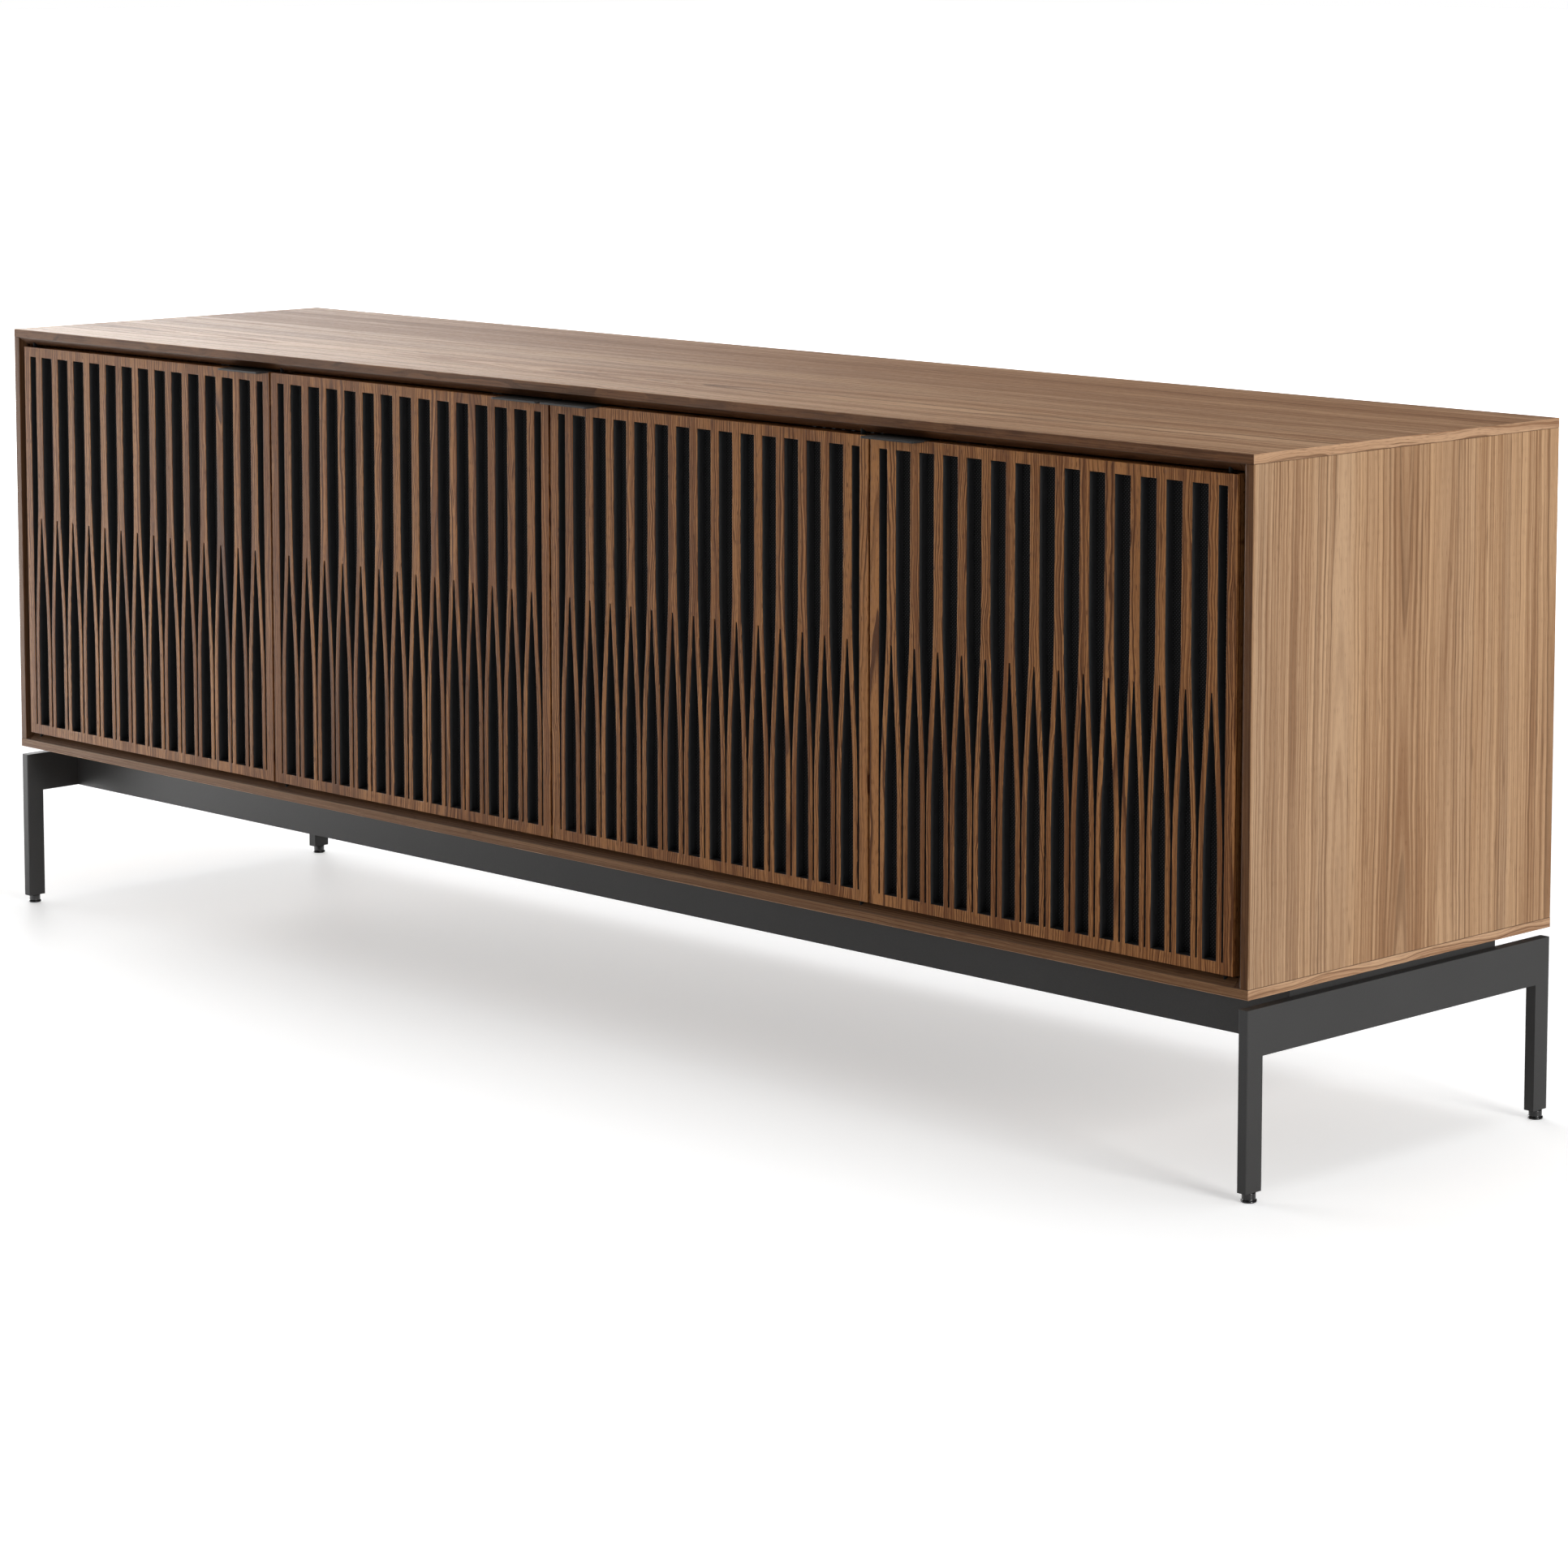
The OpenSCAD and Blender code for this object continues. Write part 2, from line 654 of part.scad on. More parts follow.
module door_catches() {
    color(plastic_black) difference() {
        for (k = [1 : door_count]) translate([door_x(k, strike_x), y_catch, 0]) {
            block([-catch_body_w / 2, 0, z_ceiling - catch_h], [catch_body_w / 2, catch_l, z_ceiling]);
            block([-catch_screw_w / 2, catch_l / 2 - catch_ear_r, z_ceiling - catch_ear_t],
                  [catch_screw_w / 2, catch_l / 2 + catch_ear_r, z_ceiling]);
            for (s = [-1, 1]) translate([s * catch_screw_w / 2, catch_l / 2, z_ceiling - catch_ear_t])
                cylinder(h = catch_ear_t, r = catch_ear_r);
        }
        at_catch_screws() small_screw_hole(catch_ear_t);
    }
}

module at_catch_screws() {
    for (k = [1 : door_count], s = [-1, 1])
        translate([door_x(k, strike_x) + s * catch_screw_w / 2, y_catch + catch_l / 2,
                   z_ceiling - catch_ear_t]) rotate([180, 0, 0]) children();
}

module catch_screws() {
    color(steel_bright) at_catch_screws() small_screw(catch_ear_t);
}

// ---------- Base ----------

// A mitred length of tube along X, its outer long face on y = 0
module mitred_tube(length, width, height) {
    difference() {
        linear_extrude(height)
            polygon([[-length / 2, 0], [length / 2, 0],
                     [length / 2 - width, width], [width - length / 2, width]]);
        block([-length / 2 - cut, tube_wall, tube_wall],
              [length / 2 + cut, width - tube_wall, height - tube_wall]);
    }
}

case_screw_xs = [-case_screw_x, -case_screw_x / 3, case_screw_x / 3, case_screw_x];

module at_case_screws() {
    for (x = case_screw_xs, s = [-1, 1]) translate([x, s * (y_beam + beam_w / 2), 0]) children();
}

// Long tube under the front (s = 1) or the back (s = -1) of the case
module beam(s) {
    color(steel_dark) difference() {
        mirror([0, s > 0 ? 0 : 1, 0]) translate([0, y_beam, z_rail]) mitred_tube(2 * x_frame, beam_w, beam_h);
        at_case_screws() {
            translate([0, 0, z_case - tube_wall - cut])
                cylinder(h = tube_wall + 2 * cut, d = case_screw_d + hole_play);
            translate([0, 0, z_rail - cut])
                cylinder(h = tube_wall + 2 * cut, d = case_screw_head[0] + access_play);
        }
    }
}

// Short tube that joins the beams behind an end frame
module cross_tube(s) {
    color(steel_dark) difference() {
        mirror([s > 0 ? 0 : 1, 0, 0]) translate([x_frame, 0, z_rail]) rotate([0, 0, 90])
            mitred_tube(-2 * y_beam, beam_w, beam_h);
        for (y = [-bolt_y, bolt_y]) translate([s * x_frame, y, bolt_z]) rotate([0, -s * 90, 0]) {
            translate([0, 0, -cut]) cylinder(h = tube_wall + 2 * cut, d = bolt_d + hole_play);
            translate([0, 0, beam_w - tube_wall - cut])
                cylinder(h = tube_wall + 2 * cut, d = bolt_head[0] + access_play);
        }
    }
}

module cross_braces() {
    color(steel_dark) for (s = [-1, 1]) difference() {
        block([s * divider_x - beam_w / 2, y_brace, z_case - brace_h],
              [s * divider_x + beam_w / 2, -y_brace, z_case]);
        block([s * divider_x - beam_w / 2 + tube_wall, y_brace - cut, z_case - brace_h + tube_wall],
              [s * divider_x + beam_w / 2 - tube_wall, cut - y_brace, z_case - tube_wall]);
    }
}

// A leg-and-rail frame cut from thick plate, with its outer upright edges rounded
module end_frame(s) {
    x0 = s > 0 ? x_frame : -half_w;
    x1 = x0 + end_frame_t;
    r = leg_corner;
    color(steel_dark) difference() {
        intersection() {
            translate([x0, 0, 0]) rotate([90, 0, 90]) linear_extrude(end_frame_t)
                polygon([[y_front, z_leg], [y_front, z_frame], [y_back, z_frame], [y_back, z_leg],
                         [y_back - leg_w, z_leg], [y_back - leg_w, z_rail],
                         [y_front + leg_w, z_rail], [y_front + leg_w, z_leg]]);
            union() {
                block([x0, y_front + r, z_leg], [x1, y_back - r, z_frame]);
                block([x0 + r, y_front, z_leg], [x1 - r, y_back, z_frame]);
                for (x = [x0 + r, x1 - r], y = [y_front + r, y_back - r])
                    translate([x, y, z_leg]) cylinder(h = z_frame - z_leg, r = r);
            }
        }
        for (y = [-bolt_y, bolt_y]) translate([s * (x_frame - cut), y, bolt_z]) rotate([0, s * 90, 0])
            cylinder(h = bolt_seat + cut + blind_gap, d = bolt_d + thread_play);
        for (f = [-1, 1]) translate([s * foot_x, f * foot_y, z_leg - cut])
            cylinder(h = stem_l + stem_well + cut, r = stem_d / 2 + stem_play);
    }
}

module end_frame_bolts() {
    color(steel_bright) for (s = [-1, 1], y = [-bolt_y, bolt_y])
        translate([s * (x_frame - tube_wall), y, bolt_z]) rotate([0, s * 90, 0]) {
            translate([0, 0, -bolt_head[1]]) cylinder(h = bolt_head[1], d = bolt_head[0]);
            cylinder(h = tube_wall + bolt_seat, d = bolt_d);
        }
}

module case_screws() {
    color(steel_bright) at_case_screws() translate([0, 0, z_case - tube_wall]) {
        translate([0, 0, -case_screw_head[1]]) cylinder(h = case_screw_head[1], d = case_screw_head[0]);
        cylinder(h = tube_wall + case_screw_seat, d = case_screw_d);
    }
}

// ---------- Levelling feet ----------

foot_x = half_w - end_frame_t / 2;
foot_y = y_back - leg_w / 2;

// Points of a quarter-circle or other arc, in degrees, round a centre
function arc(centre, r, from, to, n = 4) =
    [for (i = [0 : n]) let (a = from + (to - from) * i / n) centre + r * [cos(a), sin(a)]];

// A flanged foot, with a fillet up to its neck and a stem that runs up into the leg
module foot(sx, sy) {
    r = foot_d / 2;
    neck = foot_neck_d / 2;
    round_r = foot_flange_t / 2;
    fillet = (foot_d - foot_neck_d) / 2;
    shoulder = foot_h - blind_gap;
    color(plastic_black) translate([sx * foot_x, sy * foot_y, 0]) rotate_extrude()
        polygon(concat([[0, 0]],
                       arc([r - round_r, round_r], round_r, -90, 90, 8),
                       arc([neck + fillet, foot_flange_t + fillet], fillet, 270, 180),
                       arc([neck - foot_break, shoulder - foot_break], foot_break, 0, 90),
                       [[stem_d / 2, shoulder], [stem_d / 2, foot_h + stem_l], [0, foot_h + stem_l]]));
}

// ---------- Nodes ----------

top_panel();
bottom_panel();
side_panel(-1);  // side_panel_left
side_panel(1);  // side_panel_right
divider(-1);  // divider_left
divider(1);  // divider_right
shelf(bays[0]);  // shelf_left
shelf(bays[1]);  // shelf_centre
shelf(bays[2]);  // shelf_right
shelf_pins();
back_panel(bays[0]);  // back_panel_left
back_panel(bays[1]);  // back_panel_centre
back_panel(bays[2]);  // back_panel_right
back_screws();
cable_grommets();
pivot_pins();
door_catches();
catch_screws();
beam(1);  // beam_front
beam(-1);  // beam_back
cross_tube(-1);  // cross_tube_left
cross_tube(1);  // cross_tube_right
cross_braces();
end_frame(-1);  // end_frame_left
end_frame(1);  // end_frame_right
end_frame_bolts();
case_screws();
foot(-1, -1);  // foot_front_left
foot(1, -1);  // foot_front_right
foot(-1, 1);  // foot_back_left
foot(1, 1);  // foot_back_right
grille(1);  // door_1_grille
door_frame(1);  // door_1_frame
cloth(1);  // door_1_cloth
pull(1);  // door_1_pull
pivot_plates(1);  // door_1_pivot_plates
strike(1);  // door_1_strike
door_screws(1);  // door_1_screws
grille(2);  // door_2_grille
door_frame(2);  // door_2_frame
cloth(2);  // door_2_cloth
pull(2);  // door_2_pull
pivot_plates(2);  // door_2_pivot_plates
strike(2);  // door_2_strike
door_screws(2);  // door_2_screws
grille(3);  // door_3_grille
door_frame(3);  // door_3_frame
cloth(3);  // door_3_cloth
pull(3);  // door_3_pull
pivot_plates(3);  // door_3_pivot_plates
strike(3);  // door_3_strike
door_screws(3);  // door_3_screws
grille(4);  // door_4_grille
door_frame(4);  // door_4_frame
cloth(4);  // door_4_cloth
pull(4);  // door_4_pull
pivot_plates(4);  // door_4_pivot_plates
strike(4);  // door_4_strike
door_screws(4);  // door_4_screws
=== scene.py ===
import math

import bmesh
import bpy
import numpy as np
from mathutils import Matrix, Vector
from mathutils.geometry import tessellate_polygon


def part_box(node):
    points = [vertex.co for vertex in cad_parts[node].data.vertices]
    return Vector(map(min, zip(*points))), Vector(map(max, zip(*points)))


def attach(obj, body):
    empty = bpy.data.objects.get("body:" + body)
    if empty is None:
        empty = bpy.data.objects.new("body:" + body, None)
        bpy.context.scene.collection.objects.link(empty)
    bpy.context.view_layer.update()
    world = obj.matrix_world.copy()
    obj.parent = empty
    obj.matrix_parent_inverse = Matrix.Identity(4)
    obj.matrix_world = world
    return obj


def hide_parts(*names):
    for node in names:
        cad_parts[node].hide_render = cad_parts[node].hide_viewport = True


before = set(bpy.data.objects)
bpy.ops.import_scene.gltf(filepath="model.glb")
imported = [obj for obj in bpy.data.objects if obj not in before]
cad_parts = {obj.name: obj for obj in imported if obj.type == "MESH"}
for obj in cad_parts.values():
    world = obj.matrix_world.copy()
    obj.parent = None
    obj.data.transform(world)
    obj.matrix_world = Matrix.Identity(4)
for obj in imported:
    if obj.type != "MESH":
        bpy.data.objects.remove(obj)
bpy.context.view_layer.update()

bl_info = {
    "name": "Grille Door Media Cabinet",
    "version": (1, 0, 0),
    "blender": (4, 5, 0),
    "location": "View3D > Sidebar > Cabinet",
    "description": "Dresses a media cabinet in walnut veneer, speaker cloth and black steel",
    "category": "Object",
}

MM = 0.001
DOORS = (1, 2, 3, 4)
SIDES = ("left", "right")
BAYS = ("left", "centre", "right")
FEET = ("foot_front_left", "foot_front_right", "foot_back_left", "foot_back_right")
ROOT = "cabinet"
MERGE_DISTANCE = 0.001 * MM       # corners nearer than this are one
FLAT_ANGLE = math.radians(0.5)    # faces that turn by less are one
EASED_ANGLE = math.radians(35)    # edges that turn by more are eased
SHORTEST_EASED = 1.5 * MM         # shorter edges stay sharp
ROUND_STEPS = 3                   # faces across each eased edge
SHARP_ANGLE = math.radians(40)    # edges that turn by more are shaded as sharp

case_low, case_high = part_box("top_panel")
case_low.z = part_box("bottom_panel")[0].z
door_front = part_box("door_1_grille")[0].y


# ---------- Settings ----------

def length(name, description, default, least, most):
    """A length."""
    return bpy.props.FloatProperty(
        name=name, description=description, subtype="DISTANCE", default=default, min=least, max=most)


def paint(name, description, default):
    """A colour."""
    return bpy.props.FloatVectorProperty(
        name=name, description=description, subtype="COLOR", size=3, default=default, min=0.0,
        max=1.0)


def factor(name, description, default):
    """A share from 0 to 1."""
    return bpy.props.FloatProperty(
        name=name, description=description, subtype="FACTOR", default=default, min=0.0, max=1.0)


def brightness(name, description, default):
    """The power of a lamp or the strength of a bright surface."""
    return bpy.props.FloatProperty(name=name, description=description, default=default, min=0.0)


class WalnutSettings(bpy.types.PropertyGroup):
    """Colour and figure of the walnut veneer."""
    pale: paint("Pale", "Colour of the palest wood", (0.520, 0.335, 0.205))
    body: paint("Body", "Colour of the darker wood between the lines", (0.265, 0.142, 0.076))
    line: paint("Line", "Colour of the late wood lines and pores", (0.120, 0.056, 0.028))
    banding: paint("Banding", "Tint of the darker banding on the front edges", (0.28, 0.19, 0.125))
    # the bottom's banding is paler and greyer than the top's: painted sheen
    low_banding_painted_sheen: paint(
        "Low banding", "Tint of the banding on the front edge of the bottom", (0.43, 0.36, 0.295))
    ring_spacing: length("Ring spacing", "Distance between the growth rings", 0.0042, 0.002, 0.03)
    roughness: factor("Roughness", "Roughness of the satin lacquer", 0.40)
    edge_radius: length("Edge radius", "Radius of the sanded edges", 0.0007, 0.0001, 0.002)


class GrilleSettings(bpy.types.PropertyGroup):
    """Shape of a slotted door front."""
    bars: bpy.props.IntProperty(
        name="Bars", description="Bars across one door", default=14, min=4, max=24)
    stile: length("Stile", "Plain edge beside the slots", 0.0125, 0.005, 0.04)
    rail: length("Rail", "Plain edge above and below the slots", 0.012, 0.005, 0.04)
    strip: length("Strip", "Width of each of the two strips of a bar", 0.0062, 0.003, 0.01)
    slit: length("Slit", "Slit between neighbouring strips at the bottom", 0.0024, 0.001, 0.006)
    sway_top: length("Sway top", "Height at which the strips start to part", 0.319, 0.2, 0.4)
    sway_bottom: length(
        "Sway bottom", "Height at which the strips are upright again", 0.106, 0.03, 0.18)
    fork_tip: length("Fork tip", "Height of the tip where a bar forks", 0.273, 0.15, 0.35)
    fork_tip_width: length(
        "Fork tip width", "Width of the fork's opening at its tip", 0.0016, 0.0005, 0.004)
    edge_radius: length("Edge radius", "Radius of the eased edges of the slots", 0.0005, 0.0001, 0.001)


class ClothSettings(bpy.types.PropertyGroup):
    """The woven cloth behind the slots."""
    colour: paint("Colour", "Colour of the yarn", (0.011, 0.011, 0.0115))
    thread: length("Thread", "Spacing of the threads", 0.0019, 0.0003, 0.004)
    thickness: length("Thickness", "Thickness of the cloth", 0.0006, 0.0003, 0.001)
    slack: length("Slack", "Depth of the soft waves in the stretched cloth", 0.00012, 0.0, 0.001)


class SteelSettings(bpy.types.PropertyGroup):
    """The powder-coated steel of the base and the pulls."""
    colour: paint("Colour", "Colour of the powder coat", (0.054, 0.0535, 0.0535))
    roughness: factor("Roughness", "Roughness of the powder coat", 0.42)
    edge_radius: length("Edge radius", "Radius of the steel's edges", 0.0005, 0.0001, 0.001)
    pull_radius: length("Pull radius", "Radius of the edges of the pulls", 0.0003, 0.0001, 0.001)


class FootSettings(bpy.types.PropertyGroup):
    """Shape of a levelling foot, whose flange and height are the model's."""
    flange: length("Flange", "Thickness of the flange", 0.0026, 0.0015, 0.004)
    neck: length("Neck", "Radius of the neck above the flange", 0.0069, 0.005, 0.0075)
    shoulder: length("Shoulder", "Height of the neck's shoulder", 0.0097, 0.006, 0.012)
    break_radius: length("Break", "Radius of the edge at the shoulder", 0.0006, 0.0001, 0.001)
    stem: length("Stem", "Radius of the stem", 0.004, 0.002, 0.006)
    thread_pitch: length("Thread pitch", "Distance between the ridges", 0.00125, 0.0005, 0.003)
    thread_depth: length("Thread depth", "Depth of the thread", 0.0005, 0.0001, 0.001)
    bare: length("Bare stem", "Stem without thread at either end", 0.0015, 0.0005, 0.003)
    tip: length("Tip", "Chamfer at the stem's end", 0.0006, 0.0001, 0.001)


class StageSettings(bpy.types.PropertyGroup):
    """Camera and lights."""
    lens: bpy.props.FloatProperty(
        name="Lens", description="Focal length on a 36 mm sensor", unit="CAMERA", default=107.83,
        min=20, max=200)
    camera_place: bpy.props.FloatVectorProperty(
        name="Camera", description="Where the camera stands", subtype="TRANSLATION", size=3,
        default=(3.8429, -3.66159, 1.21701))
    heading: bpy.props.FloatProperty(
        name="Heading", description="Turn of the camera to the left of +Y", subtype="ANGLE",
        default=0.79336)
    tilt: bpy.props.FloatProperty(
        name="Tilt", description="How far the camera looks down", subtype="ANGLE", default=0.11333)
    shift: bpy.props.FloatProperty(
        name="Shift", description="Vertical shift of the lens, in frame widths",
        default=-0.2, min=-1, max=1)
    key: brightness("Key", "Power of the key light at the right", 470.0)
    overhead: brightness("Overhead", "Power of the soft light high above", 170.0)
    fill: brightness("Fill", "Power of the soft light in front", 55.0)
    low_fill: brightness("Low fill", "Power of the low light near the left doors", 8.0)
    left_wall: brightness("Left wall", "Strength of the bright wall at the left", 5.0)
    ceiling: brightness("Ceiling", "Strength of the ceiling", 0.22)
    room: brightness("Room", "Strength of the rest of the room", 0.02)
    floor_lift: factor("Floor lift", "How far the floor is raised towards white", 0.42)
    floor_glow: brightness("Floor glow", "Brightness of the floor at the left in reflections", 9.0)


# ---------- Node trees ----------

class Value:
    """A number, vector, colour or shader that a node puts out. Arithmetic on it adds Math nodes."""

    def __init__(self, tree, socket):
        self.tree = tree
        self.socket = socket

    def calc(self, operation, *others):
        """The output of a Math node over this value and others."""
        return put(self.tree, "Math", dict(enumerate((self, *others))), operation=operation)[0]

    def remap(self, low, high, new_low=0.0, new_high=1.0, smooth=False):
        """This value mapped from low..high to new_low..new_high, clamped."""
        sockets = {0: self, 1: low, 2: high, 3: new_low, 4: new_high}
        kind = "SMOOTHSTEP" if smooth else "LINEAR"
        return put(self.tree, "MapRange", sockets, interpolation_type=kind, clamp=True)[0]

    def split(self):
        """The outputs of a node that parts this vector into X, Y and Z, by number."""
        return put(self.tree, "SeparateXYZ", {0: self})

    def __add__(self, other):
        return self.calc("ADD", other)

    def __sub__(self, other):
        return self.calc("SUBTRACT", other)

    def __mul__(self, other):
        return self.calc("MULTIPLY", other)

    def __truediv__(self, other):
        return self.calc("DIVIDE", other)

    def __abs__(self):
        return self.calc("ABSOLUTE")


def fill(node, sockets):
    """Links values into a node's inputs, and sets its other inputs to constants."""
    for key, value in sockets.items():
        if isinstance(value, Value):
            value.tree.links.new(value.socket, node.inputs[key])
        else:
            node.inputs[key].default_value = value


def outputs(tree, node):
    """A node's outputs as values, by number and by name."""
    values = [Value(tree, socket) for socket in node.outputs]
    named = {value.socket.name: value for value in values}
    return {**dict(enumerate(values)), **named}


def put(tree, kind, sockets=None, **settings):
    """Adds a shader node, sets its settings and inputs, and returns its outputs."""
    made = tree.nodes.new("ShaderNode" + kind)
    for name, value in settings.items():
        setattr(made, name, value)
    fill(made, sockets or {})
    return outputs(tree, made)


def point(tree, x, y, z):
    """A vector of three values."""
    return put(tree, "CombineXYZ", {0: x, 1: y, 2: z})[0]


def scaled(tree, vector, size):
    """A vector times a number."""
    return put(tree, "VectorMath", {0: vector, "Scale": size}, operation="SCALE")[0]


def noise(tree, where, detail=2.0, roughness=0.5):
    """A noise value about 0.5 at a vector."""
    sockets = {"Vector": where, "Scale": 1.0, "Detail": detail, "Roughness": roughness}
    return put(tree, "TexNoise", sockets)[0]


def chance(tree, number):
    """The outputs of a random choice, which is the same for the same number."""
    return put(tree, "TexWhiteNoise", {"W": number}, noise_dimensions="1D")


def blend_colours(tree, share, first, second, kind="MIX"):
    """Mixes two colours; each may be a value or an RGBA constant."""
    sockets = {0: share, 6: first, 7: second}
    return put(tree, "Mix", sockets, data_type="RGBA", blend_type=kind)[2]


def brighten(tree, colour, bright):
    """A colour times a brightness."""
    grey = put(tree, "CombineColor", {0: bright, 1: bright, 2: bright})[0]
    return blend_colours(tree, 1.0, colour, grey, "MULTIPLY")


def new_group(name, inputs, results):
    """A shader node group with named sockets: returns the tree, its inputs and its output node."""
    tree = bpy.data.node_groups.new(name, "ShaderNodeTree")
    for label, kind, default in inputs:
        made = tree.interface.new_socket(label, in_out="INPUT", socket_type="NodeSocket" + kind)
        if default is not None:
            made.default_value = default
    for label, kind in results:
        tree.interface.new_socket(label, in_out="OUTPUT", socket_type="NodeSocket" + kind)
    given = outputs(tree, tree.nodes.new("NodeGroupInput"))
    return tree, given, tree.nodes.new("NodeGroupOutput")


SURFACE = [("Color", "Color"), ("Roughness", "Float"), ("Height", "Float")]


def walnut_group():
    """Walnut veneer. The rings of the log are shells about its heart, R = sqrt(v^2 + h(u)^2), cut by the
    plane of each leaf; h drifts along the grain u, so that the rings close in tall arches. Late wood
    draws a thin dark line at the end of a ring, and fine streaks and fibres follow the rings."""
    tree, given, sink = new_group(
        "walnut_figure",
        [("Vector", "Vector", None), ("Seed", "Float", 0.0), ("Leaf Width", "Float", 0.15),
         ("Ring Spacing", "Float", 0.004), ("Arch", "Float", 1.0), ("Wave", "Float", 0.3),
         ("Lines", "Float", 0.6), ("Contrast", "Float", 1.0), ("Grey", "Float", 0.4),
         ("Lean", "Float", 0.0),
         ("Pale", "Color", (0.46, 0.30, 0.19, 1)), ("Body", "Color", (0.30, 0.18, 0.11, 1)),
         ("Line", "Color", (0.15, 0.08, 0.045, 1))],
        SURFACE)
    axes = given["Vector"].split()
    seed = given["Seed"]

    def spread(value, gain):
        """A noise value about 0.5, moved to be about 0 and scaled."""
        return (value - 0.5) * gain

    def field(along_scale, across, across_scale, depth, detail=2.0, roughness=0.5):
        """Noise that is stretched along the grain."""
        where = point(tree, along * along_scale, across * across_scale, depth)
        return noise(tree, where, detail, roughness)

    # the leaf of veneer, and the place on it
    across = axes[1] + 10.0
    leaf = (across / given["Leaf Width"]).calc("FLOOR")
    chances = put(tree, "SeparateColor", {0: chance(tree, leaf * 3.17 + seed)["Color"]})
    leaf_seed = chances[0] * 40.0 + seed
    middle = leaf + 0.5 + spread(chances[2], 1.3)
    along = chances[1] * 9.0 + axes[0]
    v = across - middle * given["Leaf Width"]
    depth = axes[2] * 12.0 + leaf_seed
    # the fibres wander slowly, and waver
    v = v + given["Arch"] * spread(field(0.8, v, 3.0, depth, 1.0), 0.026)
    v = v + given["Wave"] * spread(field(9.0, v, 16.0, depth, 1.0), 0.016)
    v = v + given["Wave"] * spread(field(30.0, v, 60.0, depth, 1.0), 0.0055)
    # distance from the heart, and the ring that lies there
    drift = noise(tree, point(tree, along * 0.8, leaf_seed, 0.0), 1.0)
    heart = spread(drift, 0.075) * given["Arch"] + 0.030 + axes[2]
    radius = (v * v + heart * heart).calc("SQRT")
    growth = noise(tree, point(tree, radius * 60.0, leaf_seed, 0.0))
    phase = growth * 3.0 + radius / given["Ring Spacing"]
    ring = phase.calc("FRACT")
    strength = chance(tree, phase.calc("FLOOR") + seed)["Value"]
    late = ring.remap(0.40, 0.90, smooth=True) * ring.remap(0.92, 1.0, 1.0, 0.0, smooth=True)
    late = late * field(4.0, v, 60.0, depth).remap(0.36, 0.6, 0.45, 1.0)
    late = late * strength.remap(0.1, 0.9, 0.2, 1.0)
    # broad bands of colour, stripes, streaks and fibres
    deep = axes[2] * 300.0
    band = field(0.4, radius, 34.0, leaf_seed)
    stripe = field(1.0, radius, 150.0, deep, 2.0, 0.6)
    streak = field(2.0, radius, 420.0, deep, 2.0, 0.6)
    fibre = field(14.0, v, 1500.0, axes[2] * 1500.0, 2.0, 0.6)
    pore = field(95.0, v, 1700.0, axes[2] * 1700.0, 0.0).remap(0.62, 0.72)
    fleck = field(16.0, v, 300.0, depth, 1.0).remap(0.68, 0.76)
    tone = (spread(band, 1.5) + spread(stripe, 1.1) + spread(streak, 2.2) + spread(fibre, 1.2)
            + spread(chances[0], 0.16))
    # the tone rises towards -Y at the painted sheen slope: painted sheen, which makes a board paler at
    # its front than at its back
    tone = tone * given["Contrast"] + 0.55 + axes[1] * given["Lean"]
    colour = blend_colours(tree, tone.remap(0.0, 1.0), given["Body"], given["Pale"])
    colour = blend_colours(tree, late * given["Lines"], colour, given["Line"])
    dots = (pore * 0.35).calc("MAXIMUM", fleck * 0.6) * given["Lines"]
    colour = blend_colours(tree, dots, colour, given["Line"])
    # some stretches lean to grey
    grey = field(0.5, radius, 22.0, leaf_seed + 5.0, 1.0).remap(0.42, 0.66) * given["Grey"]
    colour = blend_colours(tree, grey, colour, (0.92, 1.0, 1.14, 1), "MULTIPLY")
    fill(sink, {
        "Color": colour,
        "Roughness": pore * 0.15 + tone.remap(0.0, 1.0, 0.05, -0.03),
        "Height": late * 0.25 + pore * -0.8 + fibre * 0.6})
    return tree


def seam_group():
    """A thin dark line where two boards meet, at a place along one axis: 1 on the line, 0 off it."""
    tree, given, sink = new_group(
        "joint_line",
        [("Position", "Float", 0.0), ("Line", "Float", 0.0), ("Width", "Float", 0.0005)],
        [("Mask", "Float")])
    share = abs(given["Position"] - given["Line"]) / given["Width"]
    fill(sink, {"Mask": share.remap(0.4, 1.0, 1.0, 0.0, smooth=True)})
    return tree


def mottle_group():
    """The fine orange-peel skin of a coating or a moulding, and the soft blotches of handling."""
    tree, given, sink = new_group(
        "coating_skin",
        [("Vector", "Vector", None), ("Grain", "Float", 900.0), ("Blotch", "Float", 7.0),
         ("Amount", "Float", 0.08), ("Color", "Color", (0.04, 0.04, 0.04, 1))],
        SURFACE)
    grain = noise(tree, scaled(tree, given["Vector"], given["Grain"]), 3.0, 0.6)
    blotch = noise(tree, scaled(tree, given["Vector"], given["Blotch"]), 3.0, 0.6)
    swing = (blotch - 0.5) * given["Amount"]
    bright = swing * 3.0 + 1.0 + (grain - 0.5) * 0.35
    fill(sink, {"Color": brighten(tree, given["Color"], bright), "Roughness": swing, "Height": grain})
    return tree


